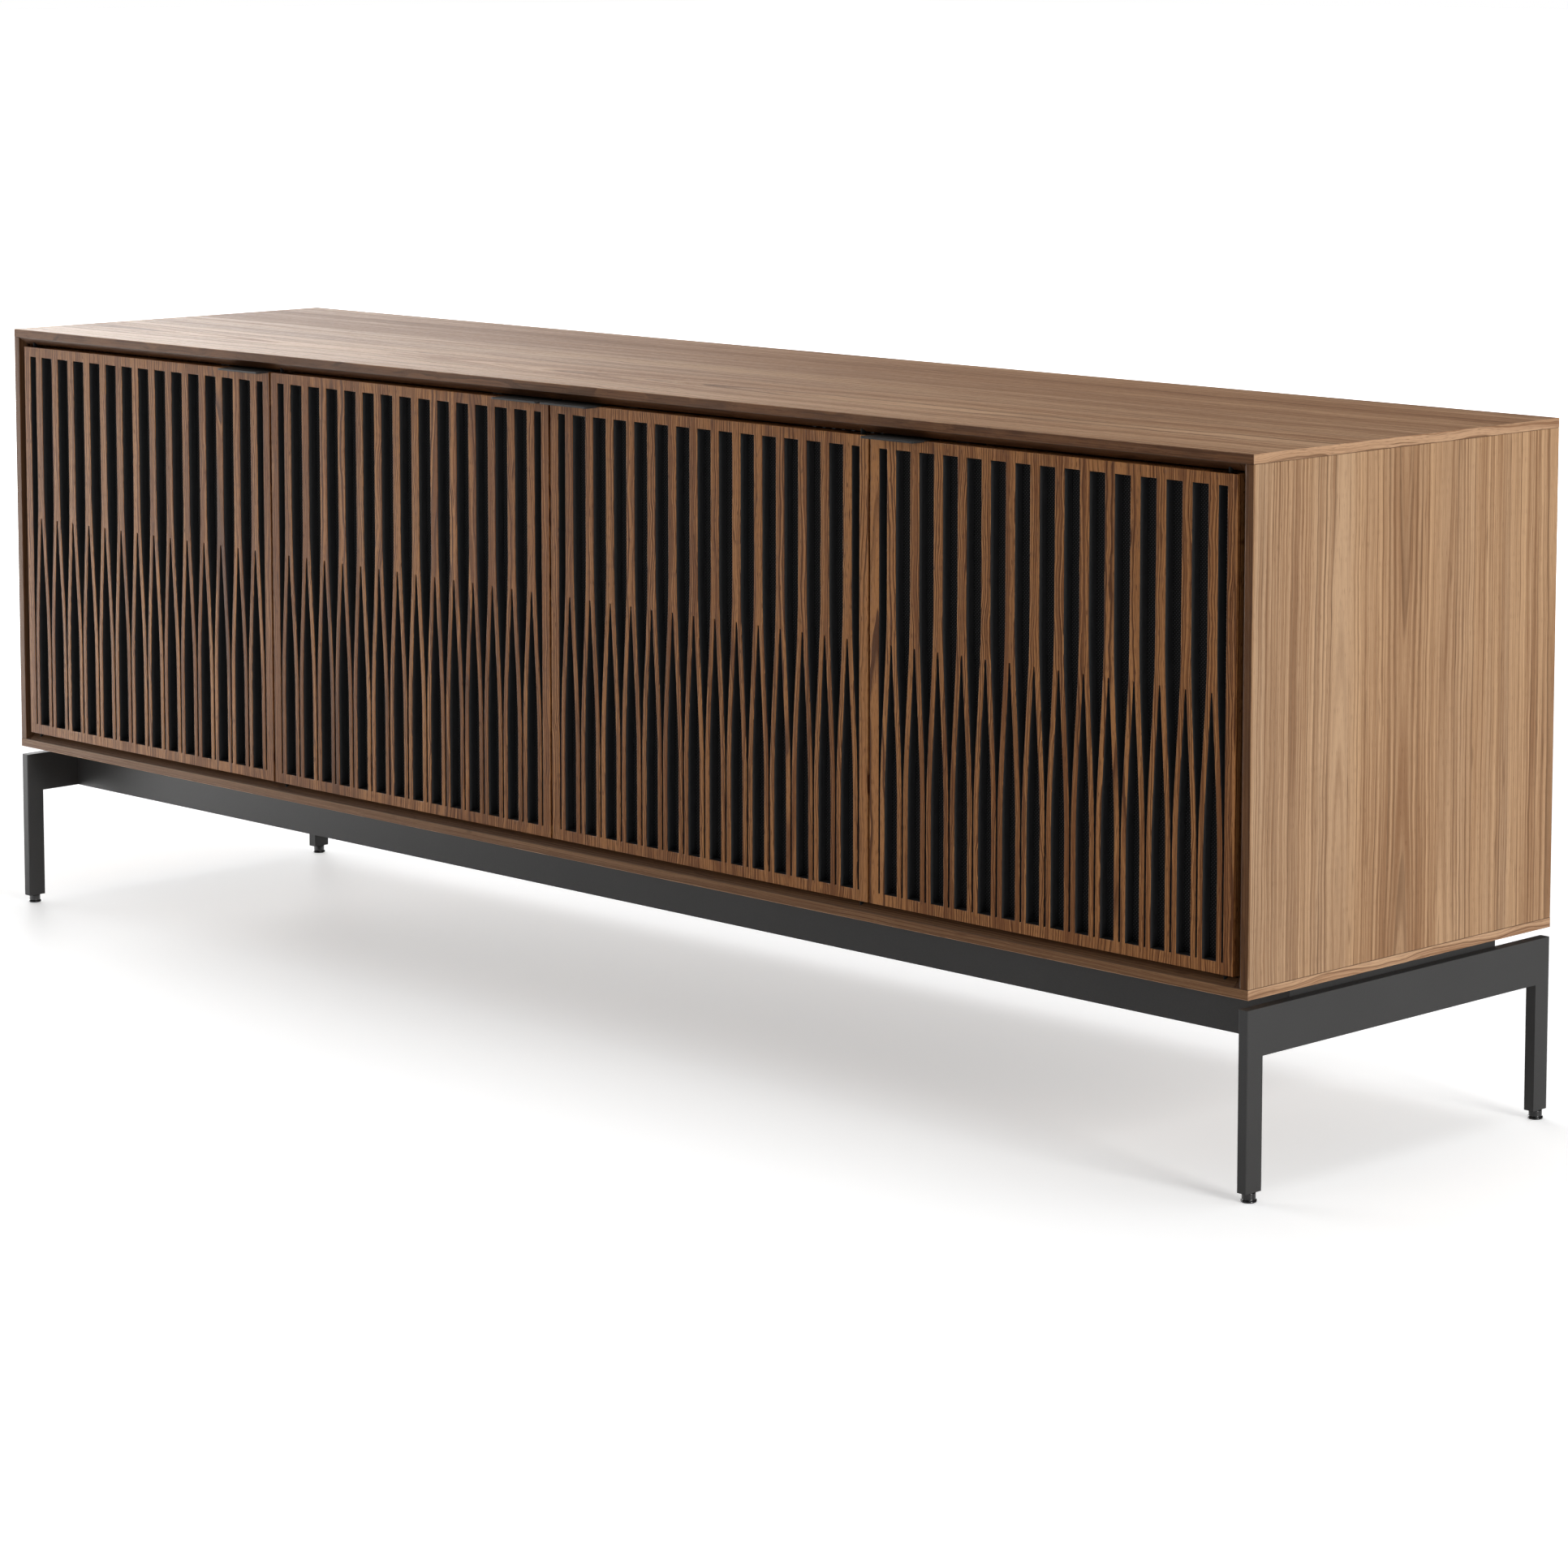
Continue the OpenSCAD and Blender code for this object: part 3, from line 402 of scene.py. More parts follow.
def weave_group():
    """A plain weave of thick yarn. Threads are numbered by whole steps of the spacing; a warp thread
    crowns where the sum of the two numbers is even, and each crown is a round spot,
    height = sin(pi x) * sin(pi y). Its colour is painted bright on the warp crowns and dark on the weft
    crowns and in the hollows at the crossings between: painted highlight and painted shade."""
    tree, given, sink = new_group(
        "plain_weave",
        [("Vector", "Vector", None), ("Thread", "Float", 0.0017),
         ("Color", "Color", (0.02, 0.02, 0.02, 1))],
        SURFACE)
    axes = given["Vector"].split()
    across = axes[0] / given["Thread"]
    up = axes[1] / given["Thread"]
    turn = across.calc("FLOOR") + up.calc("FLOOR")
    warp = (turn / 2.0).calc("FRACT").calc("LESS_THAN", 0.25)
    crown = abs((across * math.pi).calc("SINE") * (up * math.pi).calc("SINE")).calc("POWER", 1.4)
    lint = noise(tree, scaled(tree, given["Vector"], 2500.0)).remap(0.3, 0.7, 0.05, 0.25)
    # the warp crowns are painted bright, and the weft crowns and hollows dark: painted highlight and
    # painted shade
    bright = crown * warp.remap(0.0, 1.0, 0.25, 5.0) + lint
    fill(sink, {
        "Color": brighten(tree, given["Color"], bright),
        "Roughness": crown.remap(0.0, 1.0, 0.95, 0.7),
        "Height": crown * warp.remap(0.0, 1.0, 0.5, 1.0)})
    return tree


GROUPS = {
    "walnut_figure": walnut_group,
    "joint_line": seam_group,
    "coating_skin": mottle_group,
    "plain_weave": weave_group,
}


def place_group(tree, name, sockets):
    """Places a shared node group, built the first time that it is asked for, with its own values."""
    group = bpy.data.node_groups.get(name) or GROUPS[name]()
    return put(tree, "Group", sockets, node_tree=group)


# ---------- Materials ----------

def new_material(name):
    """An empty node material: returns it, its tree and its Principled shader."""
    made = bpy.data.materials.new(name + "_finish")
    made.use_nodes = True
    return made, made.node_tree, made.node_tree.nodes["Principled BSDF"]


def object_place(tree):
    """Where a point of the object lies."""
    return put(tree, "TexCoord")["Object"]


def bumped(tree, height, distance):
    """The normal of a surface with a height painted on it."""
    return put(tree, "Bump", {"Height": height, "Distance": distance, "Strength": 1.0})[0]


# Turns that bring the grain to X and the board's face to XY: the axis numbers along the grain, across
# it and through the board, and the place of the board's face on the last
GRAIN_UP_SIDE = (2, 1, 0, case_high.x)
GRAIN_UP_FRONT = (2, 0, 1, door_front)
GRAIN_WIDE_TOP = (0, 1, 2, case_high.z)
GRAIN_WIDE_LOW = (0, 1, 2, case_low.z)

BAND_DEPTH = 10.3 * MM            # how far the edge banding goes back from the front
BAND_SOFT = (0.4 * MM, 0.7 * MM)  # a banding begins and is full this far below the board's face
LIP = (9.8 * MM, 10.6 * MM)       # the bevel begins and is full this far below the board's face
SEAM = 0.6 * MM                   # half the width of a joint line
SEAM_SHARE = 0.7                  # how much of the joint line's colour shows
SEAM_COLOUR = (0.05, 0.03, 0.02, 1.0)
# the bevel behind the front edges is darkened by this much: painted shade of the gap round the doors
BEVEL_PAINTED_SHADE = (0.5, 0.48, 0.46, 1.0)
EDGE_STRETCH = 1.2                # extra depth of the figure on an edge, which draws it finer
# the pulls are darker than the base's steel: painted shade under the lip
PULL_PAINTED_SHADE = 0.45                 # the pulls' colour as a share of the base's


def walnut(name, grain, seed, tint=(1.0, 1.0, 1.0), leaf=0.15, offset=0.0, rings=1.0, arch=1.0,
           wave=0.3, lines=0.6, contrast=1.0, grey=0.5, painted_sheen_slope=0.0, seams=(), band=None, ends=None):
    """Lacquered walnut. tint multiplies its colours, leaf and offset place the leaves of veneer, rings
    widens the rings, seams are (axis number, place) of joint lines, and in front of band along Y the
    edge banding is darker. The bevel behind the banding, which lies in the gap round the doors, is
    darker still: painted shade. Past ends on X the edge banding's grain runs along Y."""
    settings = bpy.context.scene.cabinet_walnut
    made, tree, shader = new_material(name)
    place = object_place(tree).split()
    along, across, through = (place[axis] for axis in grain[:3])
    if grain[2] == 0:
        through = abs(through)
    depth = through - grain[3]
    side = abs(place[0])
    near, far = BAND_SOFT
    if band is not None:
        inside = abs(depth)
        edge = place[1].remap(band, band + near, 1.0, 0.0) * inside.remap(near, far)
        if ends is not None:
            edge = edge * side.remap(ends - far, ends - near, 1.0, 0.0)
        depth = depth * (edge * EDGE_STRETCH + 1.0)
    where = point(tree, along, across + offset, depth)
    if ends is not None:
        edging = point(tree, place[1], place[2] - grain[3], side - ends)
        past = side.remap(ends - 0.5 * MM, ends - 0.3 * MM)
        where = put(tree, "Mix", {0: past, 4: where, 5: edging}, data_type="VECTOR")[1]
    shades = {label: [a * b for a, b in zip(colour, tint)] + [1.0] for label, colour in
              (("Pale", settings.pale), ("Body", settings.body), ("Line", settings.line))}
    figure = place_group(tree, "walnut_figure", {
        "Vector": where, "Seed": seed, "Leaf Width": leaf, "Arch": arch, "Wave": wave,
        "Ring Spacing": rings * settings.ring_spacing, "Lines": lines, "Contrast": contrast,
        "Grey": grey, "Lean": painted_sheen_slope, **shades})
    colour = figure["Color"]
    if band is not None:
        # the bottom's banding is paler than the top's: painted sheen
        banding = settings.low_banding_painted_sheen if grain is GRAIN_WIDE_LOW else settings.banding
        colour = blend_colours(tree, edge, colour, (*banding, 1.0), "MULTIPLY")
        # the bevel, in the gap round the doors, is darkened: painted shade
        bevel = edge * inside.remap(*LIP)
        colour = blend_colours(tree, bevel, colour, BEVEL_PAINTED_SHADE, "MULTIPLY")
    for axis, line in seams:
        sockets = {"Position": place[axis], "Line": line, "Width": SEAM}
        mask = place_group(tree, "joint_line", sockets)["Mask"]
        colour = blend_colours(tree, mask * SEAM_SHARE, colour, SEAM_COLOUR)
    fill(shader, {
        "Base Color": colour,
        "Roughness": figure["Roughness"] + settings.roughness,
        "Specular IOR Level": 0.2,
        "Specular Tint": (1.0, 0.72, 0.50, 1.0),
        "Normal": bumped(tree, figure["Height"], 0.05 * MM)})
    return made


def coated(name, colour, roughness, grain=900.0, amount=0.08, bump=0.02 * MM, metallic=0.0,
           coat=0.0, specular=0.5):
    """A coated, moulded or plated surface with a fine skin."""
    made, tree, shader = new_material(name)
    skin = place_group(tree, "coating_skin", {
        "Vector": object_place(tree), "Grain": grain, "Amount": amount, "Color": (*colour, 1.0)})
    fill(shader, {
        "Base Color": skin["Color"],
        "Roughness": skin["Roughness"] + roughness,
        "Metallic": metallic,
        "Coat Weight": coat,
        "Coat Roughness": 0.1,
        "Specular IOR Level": specular,
        "Normal": bumped(tree, skin["Height"], bump)})
    return made


def woven(name, settings):
    """Black acoustic cloth, woven in the piece's own UV map, whose unit is a metre."""
    made, tree, shader = new_material(name)
    weave = place_group(tree, "plain_weave", {
        "Vector": put(tree, "UVMap", uv_map="cloth_metres")[0], "Thread": settings.thread,
        "Color": (*settings.colour, 1.0)})
    fill(shader, {
        "Base Color": weave["Color"],
        "Roughness": weave["Roughness"],
        "Sheen Weight": 0.15,
        "Specular IOR Level": 0.2,
        "Normal": bumped(tree, weave["Height"], 0.2 * MM)})
    return made


def finishes(scene):
    """Every finish of the cabinet by name: the function that makes it, and its values."""
    steel = scene.cabinet_steel
    painted_shade_pull_colour = [PULL_PAINTED_SHADE * part for part in steel.colour]
    side_low, side_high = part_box("side_panel_left")
    edged = {"seams": [(2, side_low.z), (2, side_high.z)], "band": case_low.y + BAND_DEPTH,
             "ends": case_high.x}
    return {
        # the top is paler towards its front: painted sheen
        "walnut_top": (walnut, dict(
            grain=GRAIN_WIDE_TOP, seed=3.0, tint=(1.04, 0.99, 0.95), leaf=0.245, rings=2.0, wave=1.0,
            lines=1.0, contrast=1.5, grey=0.2, painted_sheen_slope=-1.5, **edged)),
        "walnut_bottom": (walnut, dict(
            grain=GRAIN_WIDE_LOW, seed=8.0, tint=(1.12, 1.08, 1.04), leaf=0.245, offset=0.05,
            wave=0.8, lines=0.8, contrast=1.1, grey=0.2, **edged)),
        "walnut_side": (walnut, dict(
            grain=GRAIN_UP_SIDE, seed=5.0, tint=(1.03, 1.00, 0.92), leaf=0.145, offset=0.1, arch=0.8,
            lines=0.7, contrast=1.15, grey=0.6, band=edged["band"])),
        "walnut_divider": (walnut, dict(grain=GRAIN_UP_SIDE, seed=11.0, arch=0.4)),
        "walnut_shelf": (walnut, dict(grain=GRAIN_WIDE_TOP, seed=17.0, arch=0.4)),
        "walnut_door": (walnut, dict(
            grain=GRAIN_UP_FRONT, seed=23.0, tint=(0.72, 0.49, 0.28), leaf=0.19, offset=0.04,
            rings=0.7, arch=0.8, wave=0.9, lines=2.2, contrast=3.0, grey=0.0)),
        "slot_black": (coated, dict(colour=(0.034, 0.0345, 0.036), roughness=0.55, grain=1200.0)),
        "black_board": (coated, dict(colour=(0.018, 0.018, 0.019), roughness=0.55, grain=1500.0)),
        "black_steel": (coated, dict(colour=steel.colour, roughness=steel.roughness, specular=0.2)),
        "pull_steel": (coated, dict(colour=painted_shade_pull_colour, roughness=steel.roughness, specular=0.2)),
        # the pivot pins are coloured near black: painted shade of the gap above the doors
        "pivot_black": (coated, dict(colour=(0.006, 0.006, 0.006), roughness=0.7, specular=0.1)),
        "zinc_steel": (coated, dict(
            colour=(0.55, 0.56, 0.58), roughness=0.32, grain=500.0, amount=0.2, bump=0.004 * MM,
            metallic=1.0)),
        "black_screw": (coated, dict(
            colour=(0.03, 0.03, 0.032), roughness=0.35, amount=0.1, bump=0.005 * MM, metallic=0.6)),
        "black_plastic": (coated, dict(colour=(0.02, 0.02, 0.021), roughness=0.5, grain=1200.0)),
        "foot_plastic": (coated, dict(
            colour=(0.012, 0.012, 0.013), roughness=0.16, grain=600.0, amount=0.05, bump=0.004 * MM,
            coat=0.5)),
        "speaker_cloth": (woven, dict(settings=scene.cabinet_cloth)),
    }


def finish_named(name):
    """A finish, made the first time that it is asked for."""
    made = bpy.data.materials.get(name + "_finish")
    if made is None:
        maker, values = finishes(bpy.context.scene)[name]
        made = maker(name, **values)
    return made


def dress(piece, *names):
    """Gives a piece its finish, or the finishes that its faces are numbered by."""
    slots = piece.data.materials
    for number, name in enumerate(names):
        if number < len(slots):
            slots[number] = finish_named(name)
        else:
            slots.append(finish_named(name))


# ---------- Geometry ----------

def new_piece(name, mesh, body, slot, finish_names, *replaced):
    """Links a mesh as a piece that rides on a body and stands for the nodes named."""
    piece = bpy.data.objects.new(name, mesh)
    bpy.context.scene.collection.objects.link(piece)
    dress(piece, *finish_names)
    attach(piece, body)
    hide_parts(*replaced)
    return piece


def weigh_normals(piece):
    """Keeps wide flat faces flat beside their small round edges."""
    modifier = piece.modifiers.new("flat faces", "WEIGHTED_NORMAL")
    modifier.keep_sharp = True


def eased_copy(node, radius):
    """A merged copy of a node's mesh with its long sharp edges rounded. Short edges, such as those of
    the rim of a hole, stay sharp."""
    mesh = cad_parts[node].data.copy()
    mesh.name = node + "_eased"
    build = bmesh.new()
    build.from_mesh(mesh)
    bmesh.ops.remove_doubles(build, verts=build.verts, dist=MERGE_DISTANCE)
    bmesh.ops.dissolve_limit(build, angle_limit=FLAT_ANGLE, verts=build.verts, edges=build.edges)
    least = max(2.5 * radius, SHORTEST_EASED)
    chosen = [edge for edge in build.edges
              if len(edge.link_faces) == 2 and edge.calc_length() > least
              and edge.calc_face_angle(0.0) > EASED_ANGLE]
    bmesh.ops.bevel(build, geom=chosen, offset=radius, offset_type="OFFSET", segments=ROUND_STEPS,
                    profile=0.5, affect="EDGES", clamp_overlap=True)
    for face in build.faces:
        face.smooth = True
    build.to_mesh(mesh)
    build.free()
    mesh.set_sharp_from_angle(angle=SHARP_ANGLE)
    return mesh


def ease(node, body, slot, finish, radius):
    """Stands an eased copy of a node in its place."""
    weigh_normals(new_piece(node + "_finished", eased_copy(node, radius), body, slot, [finish], node))


def mesh_from(name, points, faces):
    """A mesh with smooth faces and sharp edges."""
    mesh = bpy.data.meshes.new(name)
    mesh.from_pydata(points.tolist(), [], [list(map(int, face)) for face in faces])
    mesh.validate()
    mesh.polygons.foreach_set("use_smooth", np.ones(len(mesh.polygons), bool))
    mesh.set_sharp_from_angle(angle=SHARP_ANGLE)
    mesh.update()
    return mesh


def ring_faces(count, rows, first=0):
    """Quads between neighbouring closed rings of count points, row after row."""
    step = np.arange(count)
    following = (step + 1) % count
    row = first + np.arange(rows - 1)[:, None] * count
    quads = np.stack([row + step, row + following, row + count + following, row + count + step], -1)
    return quads.reshape(-1, 4)


def ease_between(z, low, high):
    """0 above high, 1 below low, and s^2 (3 - 2 s) between."""
    share = np.clip((high - z) / (high - low), 0.0, 1.0)
    return share * share * (3.0 - 2.0 * share)


def grille_outlines(width, height):
    """Outlines of the slotted board in (x, z) from its lower corner: its edge first, then the openings.
    A bar's outer edge lies at strip + sway * s(z) from its middle, where s goes smoothly from 0 at the
    top of the sway to 1 at its bottom; the fork's edge is a strip's width inside it."""
    grille = bpy.context.scene.cabinet_grille
    pitch = (width - 2 * grille.stile - grille.slit) / grille.bars
    sway = (pitch - 2 * grille.strip - grille.slit) / 2
    low, high = grille.sway_bottom, grille.sway_top
    steps = 33
    curve = np.linspace(high, low, steps)
    slot_z = np.concatenate([[height - grille.rail], curve, [grille.rail]])
    fork_z = np.concatenate([[grille.fork_tip], curve[curve < grille.fork_tip - MM], [grille.rail]])
    share = ease_between(slot_z, low, high)
    slot_half = pitch / 2 - grille.strip - sway * share
    end_width = grille.slit + sway * (1 - share)
    fork_half = sway * ease_between(fork_z, low, high)
    fork_half[0] = grille.fork_tip_width / 2

    def opening(left, right, z):
        """The outline between two edges given from the top down."""
        sides = [np.stack([left, z], -1), np.stack([right, z], -1)[::-1]]
        return np.concatenate(sides)[::-1]

    edge = np.array([[0, 0], [width, 0], [width, height], [0, height]], float)
    middles = grille.stile + grille.slit / 2 + pitch * (np.arange(grille.bars) + 0.5)
    outlines = [edge]
    outlines += [opening(x - fork_half, x + fork_half, fork_z) for x in middles]
    outlines += [opening(x + pitch / 2 - slot_half, x + pitch / 2 + slot_half, slot_z)
                 for x in middles[:-1]]
    left, right = np.full_like(slot_z, grille.stile), np.full_like(slot_z, width - grille.stile)
    outlines.append(opening(left, left + end_width, slot_z))
    outlines.append(opening(right - end_width, right, slot_z))
    return outlines


def signed_area(loop):
    """The area of an outline, above 0 where it runs counter-clockwise: half the sum of
    x1 z2 - x2 z1."""
    following = np.roll(loop, -1, 0)
    return 0.5 * np.sum(loop[:, 0] * following[:, 1] - following[:, 0] * loop[:, 1])


def into_board(loop):
    """At each corner of an outline with the board on its left, the shift that moves both edges one unit
    into the board: (n1 + n2) / (1 + n1.n2), from the normals of the edges."""
    ahead = np.roll(loop, -1, 0) - loop
    ahead /= np.linalg.norm(ahead, axis=1, keepdims=True)
    normal = np.stack([-ahead[:, 1], ahead[:, 0]], -1)
    before = np.roll(normal, 1, 0)
    return (normal + before) / (1 + np.sum(normal * before, 1, keepdims=True))


def cut_board(outlines, thickness, radius):
    """A board with openings whose front and back edges are quarter rounds: each outline is carried
    along the profile (depth into the board, distance from the front). The last value is 1 for each
    face inside an opening, behind its rounded front edge, and 0 elsewhere."""
    turn = np.linspace(0, math.pi / 2, ROUND_STEPS + 1)
    inset = radius * (1 - np.sin(turn))
    depth = radius * (1 - np.cos(turn))
    inset = np.concatenate([inset, inset[::-1]])
    depth = np.concatenate([depth, thickness - depth[::-1]])
    rows = len(inset)
    points, faces, painted, starts, first = [], [], [], [], 0
    for number, outline in enumerate(outlines):
        solid_left = signed_area(outline) > 0
        loop = outline if solid_left == (number == 0) else outline[::-1]
        shift = into_board(loop)
        grid = loop[None] + inset[:, None, None] * shift[None]
        deep = np.broadcast_to(depth[:, None, None], grid.shape[:2] + (1,))
        points.append(np.concatenate([grid[..., :1], deep, grid[..., 1:]], -1).reshape(-1, 3))
        faces += ring_faces(len(loop), rows, first)[:, ::-1].tolist()
        behind = np.repeat(np.arange(rows - 1) >= ROUND_STEPS, len(loop))
        painted += (behind & (number > 0)).astype(int).tolist()
        starts.append((first, len(loop)))
        first += rows * len(loop)
    points = np.concatenate(points)
    loops = [[Vector((*points[start + i, [0, 2]], 0.0)) for i in range(count)]
             for start, count in starts]
    numbers = np.concatenate([np.arange(start, start + count) for start, count in starts])
    back = np.concatenate([np.full(count, (rows - 1) * count) for _, count in starts])
    triangles = np.array(tessellate_polygon(loops))
    flat = points[numbers][:, [0, 2]]
    a, b, c = (flat[triangles[:, i]] for i in range(3))
    area = (b[:, 0] - a[:, 0]) * (c[:, 1] - a[:, 1]) - (b[:, 1] - a[:, 1]) * (c[:, 0] - a[:, 0])
    triangles[area < 0] = triangles[area < 0][:, ::-1]
    faces += numbers[triangles].tolist()
    faces += (numbers + back)[triangles][:, ::-1].tolist()
    painted += [0] * (2 * len(triangles))
    return points, faces, painted


def lathe(profile, centre, turns=48):
    """Revolves (radius, height) points about a vertical line and closes both ends with a flat face."""
    profile = np.array(profile, float)
    angle = np.linspace(0, 2 * math.pi, turns, endpoint=False)
    ring = np.stack([np.cos(angle), np.sin(angle)], -1)
    flat = profile[:, None, :1] * ring[None]
    tall = np.broadcast_to(profile[:, None, 1:], flat.shape[:2] + (1,))
    points = np.concatenate([flat, tall], -1).reshape(-1, 3) + np.array(centre)
    faces = ring_faces(turns, len(profile)).tolist()
    last = (len(profile) - 1) * turns
    faces.append(list(range(turns))[::-1])
    faces.append(list(range(last, last + turns)))
    return points, faces


def arc(centre, radius, start, end, count=5):
    """Points on an arc, from start to end in degrees."""
    angle = np.radians(np.linspace(start, end, count))
    return [(centre[0] + radius * math.cos(a), centre[1] + radius * math.sin(a)) for a in angle]


# ---------- Operators ----------

class CABINET_OT_case(bpy.types.Operator):
    """Veneer the case, the dividers and the shelves, with sanded edges"""
    bl_idname = "cabinet.case"
    bl_label = "Case"

    def execute(self, context):
        radius = context.scene.cabinet_walnut.edge_radius
        chosen = {"top_panel": "walnut_top", "bottom_panel": "walnut_bottom"}
        chosen.update({f"side_panel_{side}": "walnut_side" for side in SIDES})
        chosen.update({f"divider_{side}": "walnut_divider" for side in SIDES})
        chosen.update({f"shelf_{bay}": "walnut_shelf" for bay in BAYS})
        for node, finish in chosen.items():
            ease(node, ROOT, "walnut_case", finish, radius)
        return {"FINISHED"}


class CABINET_OT_grilles(bpy.types.Operator):
    """Cut the slotted door fronts, with eased edges"""
    bl_idname = "cabinet.grilles"
    bl_label = "Door grilles"

    def execute(self, context):
        radius = context.scene.cabinet_grille.edge_radius
        for door in DOORS:
            node = f"door_{door}_grille"
            low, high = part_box(node)
            outlines = grille_outlines(high.x - low.x, high.z - low.z)
            points, faces, painted = cut_board(outlines, high.y - low.y, radius)
            mesh = mesh_from(node + "_mesh", points + np.array(low), faces)
            mesh.polygons.foreach_set("material_index", painted)
            piece = new_piece(f"door_{door}_slotted_front", mesh, f"door_{door}", "walnut_doors",
                              ["walnut_door", "slot_black"], node)
            weigh_normals(piece)
        return {"FINISHED"}


class CABINET_OT_cloth(bpy.types.Operator):
    """Stretch the speaker cloth over the door frames"""
    bl_idname = "cabinet.cloth"
    bl_label = "Speaker cloth"

    def execute(self, context):
        slack = context.scene.cabinet_cloth.slack
        for door in DOORS:
            node = f"door_{door}_cloth"
            low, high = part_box(node)
            mesh = self.sheet_mesh(node, low, high, slack, door)
            piece = new_piece(f"door_{door}_speaker_cloth", mesh, f"door_{door}", "speaker_cloth",
                              ["speaker_cloth"], node)
            solid = piece.modifiers.new("thickness", "SOLIDIFY")
            solid.thickness = context.scene.cabinet_cloth.thickness
            solid.offset = 0.0
        return {"FINISHED"}

    @staticmethod
    def sheet_mesh(name, low, high, slack, number, cells=48):
        """A grid in the middle of the cloth's thickness, y = slack * sin(a u + n) * sin(b v + n),
        which dies away to nothing at the edges as (4 s (1 - s))^0.5 in both directions."""
        share = np.linspace(0, 1, cells + 1)
        s, t = np.meshgrid(share, share, indexing="ij")
        fade = np.sqrt(16 * s * (1 - s) * t * (1 - t))
        wave = np.sin(9 * s + number) * np.sin(7 * t + 2 * number)
        x = low.x + s * (high.x - low.x)
        z = low.z + t * (high.z - low.z)
        y = (low.y + high.y) / 2 + slack * fade * wave
        points = np.stack([x, y, z], -1).reshape(-1, 3)
        i, j = np.meshgrid(np.arange(cells), np.arange(cells), indexing="ij")
        corner = (i * (cells + 1) + j).ravel()
        faces = np.stack([corner, corner + cells + 1, corner + cells + 2, corner + 1], -1)
        mesh = mesh_from(name + "_mesh", points, faces)
        layer = mesh.uv_layers.new(name="cloth_metres")
        numbers = np.zeros(len(mesh.loops), np.int32)
        mesh.loops.foreach_get("vertex_index", numbers)
        layer.data.foreach_set("uv", (points[numbers][:, [0, 2]]).ravel())
        return mesh


class CABINET_OT_base(bpy.types.Operator):
    """Coat the steel base"""
    bl_idname = "cabinet.base"
    bl_label = "Steel base"

    def execute(self, context):
        radius = context.scene.cabinet_steel.edge_radius
        nodes = ["beam_front", "beam_back", "cross_braces"]
        nodes += [f"cross_tube_{side}" for side in SIDES] + [f"end_frame_{side}" for side in SIDES]
        for node in nodes:
            ease(node, ROOT, "black_steel", "black_steel", radius)
        return {"FINISHED"}


class CABINET_OT_pulls(bpy.types.Operator):
    """Coat the steel door pulls"""
    bl_idname = "cabinet.pulls"
    bl_label = "Door pulls"

    def execute(self, context):
        radius = context.scene.cabinet_steel.pull_radius
        for door in DOORS:
            # the pulls take a darker colour: painted shade
            ease(f"door_{door}_pull", f"door_{door}", "black_steel", "pull_steel", radius)
        return {"FINISHED"}


class CABINET_OT_feet(bpy.types.Operator):
    """Turn the levelling feet, with a flange, a neck and a threaded stem"""
    bl_idname = "cabinet.feet"
    bl_label = "Levelling feet"

    def execute(self, context):
        foot = context.scene.cabinet_foot
        for node in FEET:
            low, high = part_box(node)
            centre = ((low.x + high.x) / 2, (low.y + high.y) / 2, low.z)
            profile = self.profile(foot, (high.x - low.x) / 2, high.z - low.z)
            points, faces = lathe(profile, centre)
            new_piece(node + "_turned", mesh_from(node + "_mesh", points, faces), node,
                      "foot_plastic", ["foot_plastic"], node)
        return {"FINISHED"}

    @staticmethod
    def profile(foot, radius, height):
        """Radius and height from the floor up: a round-edged flange, a fillet to the neck, an eased
        shoulder, and thread ridges whose radius swings between the stem's and the thread's root."""
        rim, fillet = foot.flange / 2, radius - foot.neck
        ridges = int((height - foot.shoulder - 2 * foot.bare) / foot.thread_pitch)
        steps = np.arange(2 * ridges + 1)
        heights = foot.shoulder + foot.bare + foot.thread_pitch * steps / 2
        radii = foot.stem - foot.thread_depth * (steps % 2)
        return (arc((radius - rim, rim), rim, -90, 90, 9)
                + arc((foot.neck + fillet, foot.flange + fillet), fillet, 270, 180, 6)
                + arc((foot.neck - foot.break_radius, foot.shoulder - foot.break_radius),
                      foot.break_radius, 0, 90, 5)
                + [(foot.stem, foot.shoulder)] + list(zip(radii, heights))
                + [(foot.stem, height - foot.tip), (foot.stem - foot.tip, height)])


class CABINET_OT_hardware(bpy.types.Operator):
    """Finish the back panels, door frames, hinges, catches and screws"""
    bl_idname = "cabinet.hardware"
    bl_label = "Back and hardware"

    def execute(self, context):
        chosen = {
            # the pivot pins take a near black colour: painted shade
            "back_screws": "black_screw", "pivot_pins": "pivot_black",
            "catch_screws": "zinc_steel", "end_frame_bolts": "zinc_steel",
            "case_screws": "zinc_steel", "shelf_pins": "zinc_steel",
            "cable_grommets": "black_plastic", "door_catches": "black_plastic",
        }
        chosen.update({f"back_panel_{bay}": "black_board" for bay in BAYS})
        for door in DOORS:
            chosen[f"door_{door}_frame"] = "walnut_door"
            chosen.update({f"door_{door}_{part}": "zinc_steel"
                           for part in ("pivot_plates", "strike", "screws")})
        for node, finish in chosen.items():
            dress(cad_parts[node], finish)
        return {"FINISHED"}


def seen_straight(ray):
    """1 for what the camera sees itself or through glass, and 0 for light and reflections."""
    return ray["Is Camera Ray"].calc("MAXIMUM", ray["Is Transmission Ray"])


